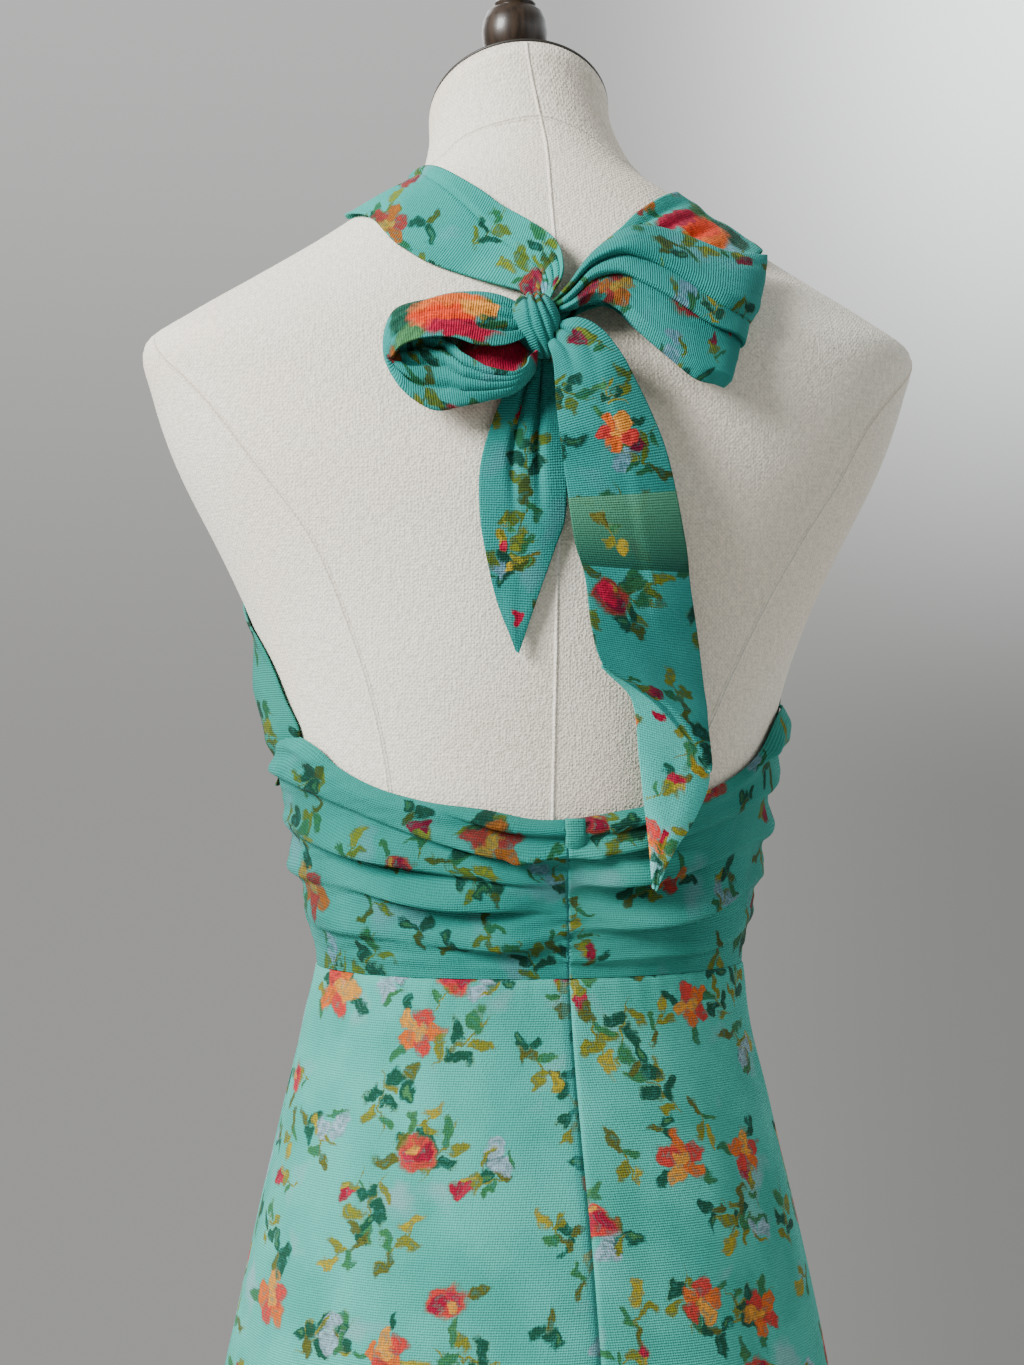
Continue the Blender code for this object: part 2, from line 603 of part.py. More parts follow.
def gather_lift(gathers, seam, turn, height):
    """How far the band's gathers stand out; seam is the turn of the seam that pinches them."""
    off_seam = abs(turn - seam)
    spread = smooth(off_seam / (pi / 2)) * 0.55 + off_seam / (pi / 2) * 0.45
    pinch = 1 - PINCH * hill(off_seam, PINCH_TURN)
    rise = max(gather.rise * hill(height - mix(gather.centre, gather.side, spread), gather.width)
               for gather in gathers)
    return rise * pinch


def side_ease(turn, height):
    """How far the band blouses out near the wearer's sides."""
    return SIDE_EASE * hill(abs(turn) - pi / 2, SIDE_EASE_TURN) * hill(height - SIDE_EASE_Z, SIDE_EASE_REACH)


def band_lifts(turn, height):
    """The lifts of the band's inner and outer faces from the form."""
    turn = (turn + pi) % (2 * pi) - pi
    seam = back_seam_turn(min(height, 1.08))
    if abs(turn) > pi / 2:
        rise = gather_lift(GATHERS_FRONT, pi, abs(turn), height)
    elif turn > seam:
        rise = gather_lift(GATHERS_LEFT, seam, turn, height)
    else:
        rise = gather_lift(GATHERS_RIGHT, seam, turn, height)
    inner = BAND_EASE + side_ease(turn, height) + rise * (1 - FOLD_IN_WALL)
    return inner, inner + CLOTH + rise * FOLD_IN_WALL


def band_panel(name, columns, rows, start, stop, top):
    """A panel of the gathered band, from the waist seam to its top edge."""
    def place(face, across, up):
        height = mix(WAIST + SEAM / 2, top(mix(start(WAIST), stop(WAIST), across)), up)
        turn = panel_turn(ring_at(TORSO, height), start(height), stop(height), across)
        return off_surface(form_point, turn, height, band_lifts(turn, height)[face])
    wall(name, columns, rows, lambda u, v: place(0, u, v), lambda u, v: place(1, u, v), mesh_cloth())


def make_band():
    """The gathered midriff band: two back panels and a front."""
    def back_top(turn):
        return row_at(BAND_BACK_TOP, turn * 180 / pi)[1]
    band_panel("band_back_left", 10, 18, back_seam_turn, left_seam_turn, back_top)
    band_panel("band_back_right", 10, 18, lambda height: -pi / 2, back_seam_turn, back_top)
    band_panel("band_front", 18, 12, lambda height: pi / 2, lambda height: 3 * pi / 2,
               lambda turn: BAND_FRONT_TOP)


def make_centre_tab():
    """The small rolled keeper over the band's top edge."""
    width, low, high, thick, aside = 0.0095, 1.0572, 1.0722, 0.0026, radians(-1.6)

    def place(outside, across, up):
        height = mix(low, high, up)
        ring = ring_at(TORSO, height)
        turn = back_seam_turn(height) + aside + (across - 0.5) * width / ring.half_width
        lift = band_lifts(turn, height)[1] + SEAM * 2
        if outside:
            lift += 0.0010 + thick * sqrt(max(sin(pi * across), 0)) * sqrt(max(sin(pi * mix(0.1, 0.9, up)), 0))
        return off_surface(form_point, turn, height, lift)
    wall("centre_tab", 6, 6, lambda u, v: place(False, u, v), lambda u, v: place(True, u, v), mesh_cloth())


def laid_strip(name, table, columns, rows, side=1, span=None, level_foot=False):
    """A strip of cloth on the form; side is -1 for its mirror image, span gives the turns that
    keep it between its seams at a height, and a level foot stands straight out from the form."""
    def place(thick, across, along):
        row = row_along(table, along)
        turn = radians(mix(row.outer_turn, row.inner_turn, across))
        height = mix(row.outer_height, row.inner_height, across)
        lift = mix(row.outer_lift, row.inner_lift, across) + thick
        climb = smooth(6 * along) if level_foot else 1.0
        if span:
            first, last = span(height)
            turn = min(max(turn, first), last)
        return off_surface(form_point, side * turn, height, lift, climb)
    return wall(name, columns, rows, lambda u, v: place(0.0, u, v), lambda u, v: place(CLOTH, u, v),
                mesh_cloth())


def hung_ribbon(name, table, columns, rows, facing=1, pleats=0, pleat_depth=0.0, pleat_end=1.0):
    """A ribbon behind the back; facing is -1 where its table runs from the right, and its
    pleats fade out at pleat_end."""
    def middle(across, along):
        row = row_along(table, min(max(along, 0.0), 1.0))
        left = Vector((row.left_x, back_of_form(row.left_x, row.left_z) + row.left_lift, row.left_z))
        right = Vector((row.right_x, back_of_form(row.right_x, row.right_z) + row.right_lift, row.right_z))
        return left.lerp(right, across), row.crown

    def place(thick, across, along):
        step = 0.01
        point, crown = middle(across, along)
        over = middle(1.0, along)[0] - middle(0.0, along)[0]
        on = middle(across, along + step)[0] - middle(across, along - step)[0]
        out = on.cross(over).normalized() * facing
        relief = crown * 4 * across * (1 - across)
        if pleats:
            tooth = across * pleats % 1.0
            fade = smooth(along / 0.12) * smooth((pleat_end - along) / 0.12)
            relief += pleat_depth * fade * min(tooth / 0.75, (1 - tooth) / 0.25)
        return point + out * (relief + thick)
    return wall(name, columns, rows, lambda u, v: place(-CLOTH / 2, u, v),
                lambda u, v: place(CLOTH / 2, u, v), mesh_cloth())


def knot_body(name, extra, grooved):
    """The knot's lump, made larger by extra."""
    bm = bmesh.new()
    bmesh.ops.create_uvsphere(bm, u_segments=20, v_segments=12, radius=1.0)
    turn = Euler((0, KNOT_LEAN, 0)).to_matrix()
    for v in bm.verts:
        point = Vector((v.co[k] * (KNOT_RADII[k] + extra) for k in range(3)))
        if grooved:
            dip = sum(hill(point.x - place, KNOT_GROOVE_WIDTH) for place in KNOT_GROOVES)
            point *= 1 - dip * KNOT_GROOVE_DEPTH / KNOT_RADII.y
        v.co = KNOT_CENTRE + turn @ point
    return finish(name, bm, mesh_cloth())


def make_bow():
    """The knot, and the straps, loops and ends that come out of it."""
    knot_body("knot", 0.0, True)
    cutter = knot_body("knot_clearance", SEAM, False)
    cutter.hide_render = True
    cutter.display_type = "WIRE"
    pieces = [
        laid_strip("strap_left", STRAP_LEFT, 6, 18),
        laid_strip("strap_right", STRAP_RIGHT, 6, 14),
        hung_ribbon("tail_right", TAIL_RIGHT, 6, 24),
        hung_ribbon("tail_left", TAIL_LEFT, 6, 14),
        hung_ribbon("loop_right", LOOP_RIGHT_OUT + LOOP_RIGHT_BACK, 10, 24, -1, 3, 0.0035, 0.48),
        hung_ribbon("loop_left", LOOP_LEFT_OUT, 7, 24, -1),
    ]
    for piece in pieces:
        cut = piece.modifiers.new("clear of the knot", "BOOLEAN")
        cut.operation = "DIFFERENCE"
        cut.object = cutter


def make_cups():
    """The two halter fronts, between the side seams and the centre front."""
    ring = ring_at(TORSO, BAND_FRONT_TOP)
    side_gap = seam_turn(ring, SEAM / 2, ring.front)
    last = pi - seam_turn(ring, SEAM / 2, ring.half_width)

    def left_span(height):
        return left_seam_turn(height) + side_gap, last

    def right_span(height):
        return pi / 2 + side_gap, last
    laid_strip("cup_left", CUP_LEFT, 10, 24, 1, left_span, True)
    laid_strip("cup_right", CUP_RIGHT, 10, 22, -1, right_span, True)


def clear_scene():
    for old in list(bpy.data.objects):
        bpy.data.objects.remove(old)


def main():
    clear_scene()
    make_torso()
    make_neck_plate()
    make_finial()
    make_stand()
    make_skirt()
    make_band()
    make_centre_tab()
    make_cups()
    make_bow()


main()
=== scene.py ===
"""A halter mesh top tied at the nape of a limbless dress form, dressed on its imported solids.

The wearer's front faces -Y and the wearer's left is +X. A turn is the angle round the body:
0 at the centre back, 90 degrees at the wearer's left and 180 at the centre front.
"""
from math import pi, radians
from typing import NamedTuple

import bmesh
import bpy
import numpy as np
from bpy.props import FloatProperty, FloatVectorProperty, PointerProperty
from mathutils import Euler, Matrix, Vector, noise


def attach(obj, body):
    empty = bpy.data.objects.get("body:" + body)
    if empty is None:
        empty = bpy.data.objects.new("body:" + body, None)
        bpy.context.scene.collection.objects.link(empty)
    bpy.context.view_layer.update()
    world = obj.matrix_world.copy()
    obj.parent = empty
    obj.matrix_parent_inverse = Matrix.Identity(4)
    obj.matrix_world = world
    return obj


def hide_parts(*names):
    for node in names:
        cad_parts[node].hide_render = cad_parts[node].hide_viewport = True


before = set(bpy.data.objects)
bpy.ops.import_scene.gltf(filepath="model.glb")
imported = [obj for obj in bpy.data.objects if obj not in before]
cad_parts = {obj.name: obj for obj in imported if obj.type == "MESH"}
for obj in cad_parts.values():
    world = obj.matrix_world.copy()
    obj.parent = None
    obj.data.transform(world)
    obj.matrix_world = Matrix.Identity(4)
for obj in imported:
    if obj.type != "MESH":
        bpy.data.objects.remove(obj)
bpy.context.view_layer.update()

bl_info = {
    "name": "Halter mesh top on a dress form",
    "version": (1, 0, 0),
    "blender": (4, 5, 0),
    "location": "3D View > Sidebar > Halter top",
    "description": "Builds a printed mesh halter top, its bow and the dress form that it is shown on",
    "category": "Add Mesh",
}

# Heights of the form and the garment, as the solids have them
WAIST = 0.9945
HEM = 0.6720
BAND_FRONT_TOP = 1.0860
SEAM = 0.0003
BAND_EASE = 0.0021
SIDE_EASE = 0.0100
SIDE_EASE_Z = 1.097
SIDE_EASE_REACH = 0.040
SIDE_EASE_TURN = radians(32)
PINCH = 0.75
PINCH_TURN = radians(9)
NECK_FOOT = 1.385
NECK_TOP = 1.4315
NECK_LEAN = 0.0060
NECK_TILT = 0.6
TORSO_FOOT = 0.7050
BUST_DEPTH = 0.030
BUST_REACH = 0.045
BUST_X = 0.083
BUST_Z = 1.155
PLATE_THICK = 0.0012
BOARD_THICK = 0.0050
POLE_RADIUS = 0.0125
BASE_RADIUS = 0.1700
BASE_TOP = 0.0520
GIRTH_RADIUS = 0.11         # turns an angle round the waist into a length
TUCK_HEIGHT = 1.0565        # of the short tuck under the keeper
KNIT_PITCH = 0.0012
WEAVE_PITCH = 0.0024        # two threads, one over and one under
# The cloth of these pieces is doubled or rolled
CUP_THICK = 0.0010
STRAP_THICK = 0.0012
TAIL_THICK = 0.0013
LOOP_THICK = 0.0010
TAB_THICK = 0.0008

MERGE = 0.00001
SHARP = radians(50)         # a turned piece's edges are crisp past this angle

# The camera stands behind the form, a little to the wearer's left
VIEW_BACK = (0.1219, 0.9925, 0.0)
VIEW_RIGHT = (-0.9925, 0.1219, 0.0)
EYE_ASIDE = -0.0094
EYE_HEIGHT = 1.138
EYE_DISTANCE = 1.2
LENS_MM = 60.9
SENSOR_MM = 36
FLOOR_RADIUS = 1.6


class Ring(NamedTuple):
    """One ring round the body; height is where it crosses the side."""
    height: float
    half_width: float
    back: float
    front: float
    power: float        # 2 is an ellipse, and more is squarer
    rise: float = 0.0   # how far the ring climbs to the centre back
    drop: float = 0.0   # how far it falls to the centre front
    bow: float = 1.6    # 1 keeps the ring in a plane


class Gather(NamedTuple):
    """A ridge of gathered cloth that runs round the band."""
    centre: float       # its height at the centre seam
    side: float         # its height at the side seam
    rise: float
    width: float


class Flute(NamedTuple):
    """A soft upright fold in the skirt."""
    turn: float
    width: float
    share: float        # of the full depth


class Lay(NamedTuple):
    """A line across a strip that lies on the form, from its outer to its inner edge."""
    outer_turn: float
    outer_height: float
    inner_turn: float
    inner_height: float
    outer_lift: float
    inner_lift: float


class Hang(NamedTuple):
    """A line across a ribbon behind the back; each edge's lift is its distance from the form."""
    left_x: float
    left_z: float
    left_lift: float
    right_x: float
    right_z: float
    right_lift: float
    crown: float        # how far the middle stands over the edges


class Petal(NamedTuple):
    """One brush stroke of a printed motif, in shares of the motif's radius."""
    x: float
    y: float
    turn: float
    length: float
    width: float
    colour: str


class Scatter(NamedTuple):
    """A motif strewn over the cloth."""
    motif: str
    spacing_mm: float
    radius_mm: float
    chance: float
    shift: float        # moves this layer's places against the others


class Cloth(NamedTuple):
    """How the print falls on one piece; lined or doubled pieces are deeper in tint than the skirt. The tints
    of the band, the cups and the bow are also darkened as painted shade, and the right band's is kept paler
    as painted light on its shaded side.
    """
    title: str
    shift_u: float
    shift_v: float
    tint: str = "#9AC4C8"
    spots: tuple = ()
    stripe: tuple = ()  # where a band of green begins and ends along the piece, in millimetres
    strip: tuple = ()   # the side that a seam allowance shows at, its width and its depth of colour
    over: tuple = ()    # the slope and place, in millimetres, of the line past which it is single, and painted paler: partly for the single layer, partly as painted light


class Spot(NamedTuple):
    """A motif at a place of its own on a piece, in millimetres of the flat cloth."""
    motif: str
    u: float
    v: float
    radius: float
    turn: float


TORSO = [
    #    height, half_width, back,  front, power
    Ring(0.705, 0.1490, 0.1080, 0.0920, 2.20),
    Ring(0.750, 0.1500, 0.1135, 0.0945, 2.20),
    Ring(0.783, 0.1480, 0.1150, 0.0960, 2.20),
    Ring(0.817, 0.1430, 0.1130, 0.0960, 2.20),
    Ring(0.869, 0.1320, 0.1035, 0.0940, 2.15),
    Ring(0.921, 0.1200, 0.0900, 0.0900, 2.10),
    Ring(0.960, 0.1110, 0.0795, 0.0865, 2.10),
    Ring(0.992, 0.1070, 0.0750, 0.0855, 2.10),
    Ring(1.025, 0.1125, 0.0775, 0.0880, 2.10),
    Ring(1.051, 0.1165, 0.0815, 0.0920, 2.10),
    Ring(1.098, 0.1232, 0.0885, 0.0990, 2.15),
    Ring(1.139, 0.1327, 0.0955, 0.1040, 2.20),
    Ring(1.170, 0.1442, 0.0995, 0.1065, 2.20),
    Ring(1.200, 0.1580, 0.1025, 0.1070, 2.25),
    Ring(1.248, 0.1820, 0.1050, 0.1030, 2.35),
    Ring(1.285, 0.1945, 0.1010, 0.0900, 2.50, drop=0.006),
    Ring(1.308, 0.1975, 0.0955, 0.0780, 2.60, drop=0.012),
    Ring(1.322, 0.1780, 0.0905, 0.0690, 2.50, 0.003, 0.017),
    Ring(1.340, 0.1475, 0.0830, 0.0600, 2.30, 0.007, 0.023),
    Ring(1.358, 0.1170, 0.0740, 0.0530, 2.15, 0.011, 0.030),
    Ring(1.3745, 0.0912, 0.0655, 0.0480, 2.05, 0.014, 0.034),
    Ring(1.388, 0.0665, 0.0580, 0.0465, 2.00, 0.015, 0.035),
    Ring(1.399, 0.0560, 0.0525, 0.0470, 2.00, 0.016, 0.034, 1.5),
    Ring(1.4105, 0.0500, 0.0485, 0.0500, 2.00, 0.020, 0.033, 1.3),
    Ring(1.421, 0.0470, 0.0460, 0.0525, 2.00, 0.024, 0.0325, 1.1),
    Ring(NECK_TOP, 0.0465, 0.0450, 0.0540, 2.00, 0.0450 * NECK_TILT, 0.0540 * NECK_TILT, 1.0),
]
SKIRT = [
    #    height, half_width, back,  front, power
    Ring(HEM, 0.1745, 0.1420, 0.1230, 2.10),
    Ring(0.730, 0.1630, 0.1345, 0.1150, 2.10),
    Ring(0.783, 0.1535, 0.1265, 0.1080, 2.12),
    Ring(0.817, 0.1467, 0.1190, 0.1035, 2.15),
    Ring(0.869, 0.1354, 0.1085, 0.0985, 2.15),
    Ring(0.921, 0.1234, 0.0940, 0.0935, 2.10),
    Ring(0.960, 0.1140, 0.0825, 0.0900, 2.10),
    Ring(WAIST, 0.1095, 0.0773, 0.0878, 2.10),
]

# (height, turn) of the centre back seam, and of the seam from the left back to the front
BACK_SEAM = [(HEM, -7.0), (0.818, -6.0), (WAIST, -4.2), (1.080, -2.4)]
LEFT_SEAM = [(1.080, 90.0), (1.087, 89.0), (1.0965, 85.0), (1.1065, 79.0), (1.130, 77.0)]

# (turn, height) of the band's top edge
BAND_BACK_TOP = [
    (-90, 1.127), (-72, 1.122), (-60, 1.102), (-49, 1.091), (-38, 1.0835), (-19, 1.0765), (0, 1.0715),
    (13, 1.0765), (25, 1.0795), (36, 1.084), (45, 1.089), (57, 1.097), (68, 1.105), (79, 1.1105), (90, 1.112),
]

GATHERS_LEFT = [
    Gather(1.0655, 1.119, 0.0036, 0.0062),
    Gather(1.0540, 1.098, 0.0040, 0.0062),
    Gather(1.0430, 1.069, 0.0046, 0.0065),
    Gather(1.0290, 1.047, 0.0042, 0.0060),
    Gather(1.0120, 1.022, 0.0030, 0.0080),
]
GATHERS_RIGHT = [
    Gather(1.0655, 1.119, 0.0036, 0.0062),
    Gather(1.0560, 1.095, 0.0036, 0.0060),
    Gather(1.0430, 1.069, 0.0046, 0.0065),
    Gather(1.0210, 1.043, 0.0042, 0.0070),
    Gather(1.0020, 1.020, 0.0024, 0.0060),
]
GATHERS_FRONT = [
    Gather(1.0740, 1.069, 0.0034, 0.0065),
    Gather(1.0500, 1.047, 0.0040, 0.0065),
    Gather(1.0210, 1.021, 0.0034, 0.0075),
]

FLUTES = [
    Flute(-167, 12, 0.80), Flute(-136, 11, 1.00), Flute(-107, 12, 0.70), Flute(-60, 11, 0.95),
    Flute(-31, 12, 0.70), Flute(2, 12, 0.45), Flute(31, 12, 0.75), Flute(58, 11, 1.00),
    Flute(80, 9, 0.50), Flute(119, 12, 1.00), Flute(147, 12, 0.70), Flute(174, 10, 0.90),
]

CUP_LEFT = [
    Lay(89, BAND_FRONT_TOP - 0.0008, 180, BAND_FRONT_TOP - 0.0008, 0.0088, BAND_EASE + 0.0006),
    Lay(70, 1.108, 180, 1.115, 0.0006, BAND_EASE),
    Lay(74, 1.131, 178, 1.138, 0.0003, BAND_EASE),
    Lay(83, 1.160, 176, 1.166, 0.0004, 0.0026),
    Lay(108, 1.187, 174, 1.194, 0.0014, 0.0026),
    Lay(128, 1.218, 172, 1.226, 0.0026, 0.0026),
    Lay(142, 1.260, 171, 1.265, 0.0021, 0.0021),
    Lay(151.5, 1.300, 170.5, 1.308, 0.0018, 0.0018),
    Lay(142, 1.335, 159.5, 1.346, 0.0014, 0.0014),
    Lay(125.5, 1.358, 144, 1.372, 0.0015, 0.0015),
    Lay(90.5, 1.3745, 90.5, 1.3970, 0.0017, 0.0017),
]
CUP_RIGHT = [
    Lay(90, BAND_FRONT_TOP - 0.0008, 180, BAND_FRONT_TOP - 0.0008, 0.0050, BAND_EASE + 0.0006),
    Lay(90, 1.127, 180, 1.122, 0.0022, BAND_EASE),
    Lay(105, 1.168, 177, 1.170, 0.0016, 0.0026),
    Lay(126.5, 1.210, 172, 1.215, 0.0020, 0.0026),
    Lay(139.5, 1.258, 170, 1.262, 0.0018, 0.0021),
    Lay(147, 1.300, 169, 1.308, 0.0016, 0.0018),
    Lay(139, 1.328, 156, 1.343, 0.0014, 0.0014),
    Lay(123, 1.346, 141, 1.366, 0.0013, 0.0013),
    Lay(90.5, 1.3590, 90.5, 1.3870, 0.0012, 0.0012),
]
STRAP_LEFT = [
    Lay(90, 1.3745, 90, 1.3970, 0.0017, 0.0017),
    Lay(50, 1.3610, 58, 1.3885, 0.0016, 0.0017),
    Lay(27.6, 1.3421, 35, 1.3780, 0.0013, 0.0014),
    Lay(18.9, 1.3342, 19.2, 1.3668, 0.0012, 0.0012),
    Lay(11.9, 1.3290, 10.2, 1.3576, 0.0012, 0.0012),
    Lay(5.4, 1.3235, 3.7, 1.3498, 0.0028, 0.0028),
    Lay(2.8, 1.3200, 0.1, 1.3420, 0.0052, 0.0052),
    Lay(1.7, 1.3130, -0.5, 1.3300, 0.0080, 0.0080),
    Lay(1.2, 1.3060, 0.5, 1.3150, 0.0100, 0.0100),
]
STRAP_RIGHT = [
    Lay(-90, 1.3590, -90, 1.3870, 0.0012, 0.0012),
    Lay(-62, 1.3525, -60, 1.3800, 0.0012, 0.0012),
    Lay(-36, 1.3385, -36, 1.3695, 0.0012, 0.0012),
    Lay(-22.4, 1.3305, -20.6, 1.3583, 0.0012, 0.0012),
    Lay(-11.8, 1.3235, -13, 1.3498, 0.0012, 0.0012),
    Lay(-5.1, 1.3180, -7.3, 1.3420, 0.0010, 0.0010),
    Lay(-1.8, 1.3140, -3.0, 1.3330, 0.0016, 0.0016),
    Lay(-0.4, 1.3080, -0.9, 1.3230, 0.0028, 0.0028),
    Lay(0.6, 1.3040, 0.6, 1.3120, 0.0050, 0.0050),
]

TAIL_RIGHT = [
    Hang(0.0050, 1.2990, 0.0140, 0.0010, 1.3050, 0.0140, 0.0000),
    Hang(0.0052, 1.2925, 0.0175, -0.0090, 1.3080, 0.0185, 0.0010),
    Hang(0.0050, 1.2870, 0.0185, -0.0190, 1.3025, 0.0195, 0.0020),
    Hang(0.0045, 1.2780, 0.0180, -0.0270, 1.2920, 0.0185, 0.0030),
    Hang(0.0040, 1.2690, 0.0165, -0.0329, 1.2808, 0.0165, 0.0040),
    Hang(0.0020, 1.2530, 0.0145, -0.0412, 1.2650, 0.0145, 0.0040),
    Hang(-0.0007, 1.2367, 0.0125, -0.0498, 1.2440, 0.0125, 0.0030),
    Hang(-0.0056, 1.2054, 0.0105, -0.0592, 1.2051, 0.0105, 0.0030),
    Hang(-0.0105, 1.1885, 0.0100, -0.0621, 1.1857, 0.0100, 0.0030),
    Hang(-0.0140, 1.1640, 0.0100, -0.0675, 1.1580, 0.0100, 0.0025),
    Hang(-0.0201, 1.1459, 0.0105, -0.0712, 1.1344, 0.0105, 0.0025),
    Hang(-0.0357, 1.1296, 0.0100, -0.0730, 1.1190, 0.0150, 0.0020),
    Hang(-0.0402, 1.1012, 0.0110, -0.0758, 1.0920, 0.0190, 0.0020),
    Hang(-0.0430, 1.0810, 0.0118, -0.0680, 1.0710, 0.0190, 0.0015),
    Hang(-0.0460, 1.0620, 0.0125, -0.0580, 1.0556, 0.0165, 0.0010),
    Hang(-0.0486, 1.0385, 0.0135, -0.0504, 1.0370, 0.0140, 0.0000),
]
TAIL_LEFT = [
    Hang(0.0120, 1.3010, 0.0060, 0.0060, 1.3000, 0.0060, 0.0000),
    Hang(0.0160, 1.2890, 0.0040, 0.0030, 1.2890, 0.0040, 0.0006),
    Hang(0.0274, 1.2720, 0.0035, -0.0009, 1.2717, 0.0035, 0.0010),
    Hang(0.0372, 1.2437, 0.0035, -0.0024, 1.2480, 0.0035, 0.0014),
    Hang(0.0380, 1.2192, 0.0035, -0.0028, 1.2180, 0.0035, 0.0014),
    Hang(0.0350, 1.2000, 0.0035, 0.0020, 1.2020, 0.0035, 0.0012),
    Hang(0.0295, 1.1772, 0.0035, 0.0110, 1.1760, 0.0035, 0.0008),
    Hang(0.0230, 1.1605, 0.0035, 0.0165, 1.1590, 0.0035, 0.0003),
    Hang(0.0200, 1.1530, 0.0035, 0.0185, 1.1523, 0.0035, 0.0000),
]
LOOP_RIGHT_OUT = [
    Hang(0.0030, 1.3190, 0.0120, 0.0030, 1.3130, 0.0120, 0.0000),
    Hang(-0.0036, 1.3250, 0.0160, -0.0060, 1.3145, 0.0165, 0.0010),
    Hang(-0.0148, 1.3408, 0.0175, -0.0163, 1.3189, 0.0185, 0.0030),
    Hang(-0.0290, 1.3530, 0.0185, -0.0270, 1.3145, 0.0195, 0.0040),
    Hang(-0.0418, 1.3579, 0.0190, -0.0367, 1.3035, 0.0200, 0.0045),
    Hang(-0.0600, 1.3556, 0.0190, -0.0490, 1.2925, 0.0200, 0.0045),
    Hang(-0.0840, 1.3478, 0.0180, -0.0630, 1.2818, 0.0190, 0.0040),
    Hang(-0.1020, 1.3485, 0.0160, -0.0730, 1.2795, 0.0170, 0.0030),
    Hang(-0.1095, 1.3497, 0.0150, -0.0783, 1.2785, 0.0145, 0.0000),
]
LOOP_RIGHT_BACK = [
    Hang(-0.1020, 1.3470, 0.0100, -0.0730, 1.2815, 0.0100, -0.0052),
    Hang(-0.0840, 1.3455, 0.0085, -0.0630, 1.2850, 0.0088, -0.0045),
    Hang(-0.0600, 1.3510, 0.0080, -0.0490, 1.2960, 0.0080, -0.0032),
    Hang(-0.0418, 1.3510, 0.0072, -0.0367, 1.3070, 0.0080, -0.0020),
    Hang(-0.0290, 1.3450, 0.0072, -0.0270, 1.3165, 0.0080, -0.0010),
    Hang(-0.0148, 1.3340, 0.0080, -0.0163, 1.3185, 0.0085, 0.0000),
    Hang(-0.0030, 1.3210, 0.0085, -0.0050, 1.3150, 0.0090, 0.0000),
    Hang(0.0045, 1.3160, 0.0085, 0.0045, 1.3120, 0.0085, 0.0000),
]
LOOP_LEFT_OUT = [
    Hang(0.0120, 1.3030, 0.0140, 0.0120, 1.3120, 0.0100, 0.0000),
    Hang(0.0255, 1.2965, 0.0210, 0.0215, 1.3185, 0.0120, 0.0020),
    Hang(0.0400, 1.2950, 0.0240, 0.0340, 1.3228, 0.0115, 0.0030),
    Hang(0.0520, 1.2985, 0.0250, 0.0480, 1.3232, 0.0110, 0.0030),
    Hang(0.0640, 1.2985, 0.0245, 0.0620, 1.3190, 0.0100, 0.0030),
    Hang(0.0770, 1.2935, 0.0220, 0.0775, 1.3135, 0.0090, 0.0020),
    Hang(0.0803, 1.2830, 0.0190, 0.0830, 1.2990, 0.0080, 0.0015),
    Hang(0.0737, 1.2735, 0.0170, 0.0775, 1.2930, 0.0062, 0.0000),
    Hang(0.0607, 1.2655, 0.0165, 0.0650, 1.2995, 0.0055, -0.0010),
    Hang(0.0480, 1.2668, 0.0175, 0.0510, 1.3040, 0.0055, -0.0015),
    Hang(0.0356, 1.2692, 0.0175, 0.0367, 1.3045, 0.0055, -0.0015),
    Hang(0.0225, 1.2735, 0.0165, 0.0240, 1.3030, 0.0060, -0.0010),
    Hang(0.0135, 1.2830, 0.0145, 0.0160, 1.3010, 0.0075, 0.0000),
    Hang(0.0090, 1.2970, 0.0130, 0.0105, 1.3010, 0.0095, 0.0000),
]

KNOT_CENTRE = Vector((0.0105, 0.1085, 1.3065))
KNOT_RADII = Vector((0.0112, 0.0115, 0.0165))
KNOT_LEAN = radians(18)
KNOT_GROOVES = (-0.0060, -0.0012, 0.0044)

# Half turned profiles as (radius, height), from the bottom up
FINIAL_CENTRE = Vector((0.0074, -0.0045, 0.0))
FINIAL = [
    (0.0130, 1.4480), (0.0135, 1.4505), (0.0115, 1.4535), (0.0092, 1.4560), (0.0100, 1.4595),
    (0.0140, 1.4640), (0.0165, 1.4700), (0.0173, 1.4760), (0.0166, 1.4820), (0.0143, 1.4872),
    (0.0106, 1.4898), (0.0110, 1.4912), (0.0098, 1.4926), (0.0088, 1.4960), (0.0092, 1.5010),
    (0.0112, 1.5060), (0.0118, 1.5110), (0.0100, 1.5165), (0.0058, 1.5200), (0.0015, 1.5212),
]
BASE = [
    (BASE_RADIUS, 0.0), (BASE_RADIUS, 0.0150), (0.1670, 0.0200), (0.1580, 0.0235), (0.1100, 0.0290),
    (0.0500, 0.0340), (0.0300, 0.0380), (0.0240, 0.0440), (0.0220, BASE_TOP),
]

# (turn, height) along the linen cover's seams
PRINCESS_LEFT = [(75.8, 1.311), (58.3, 1.278), (49.6, 1.243), (43.4, 1.2065), (41.7, 1.168), (39.4, 1.120),
                 (38.2, 1.060), (38.0, 1.000), (37.0, 0.920), (39.0, 0.820), (39.5, 0.705)]
PRINCESS_RIGHT = [(-90.0, 1.317), (-59.9, 1.2755), (-52.6, 1.234), (-47.4, 1.194), (-43.2, 1.159),
                  (-38.6, 1.129), (-34.1, 1.090), (-34.5, 1.000), (-37.0, 0.920), (-39.0, 0.820),
                  (-39.5, 0.705)]
PRINCESS_FRONT = [(112.0, 1.312), (124.0, 1.270), (136.0, 1.215), (140.0, 1.155), (143.0, 1.090),
                  (147.0, 1.000), (146.0, 0.900), (144.0, 0.800), (143.0, 0.705)]
CENTRE_BACK = [(2.0, 1.4310), (-0.5, 1.4015), (-0.4, 1.360), (-0.2, 1.300), (0.0, 1.200), (0.0, 1.100),
               (0.0, 1.000), (0.0, 0.850), (0.0, 0.705)]
CENTRE_FRONT = [(180.0, height) for height in (1.4310, 1.360, 1.250, 1.150, 1.000, 0.705)]
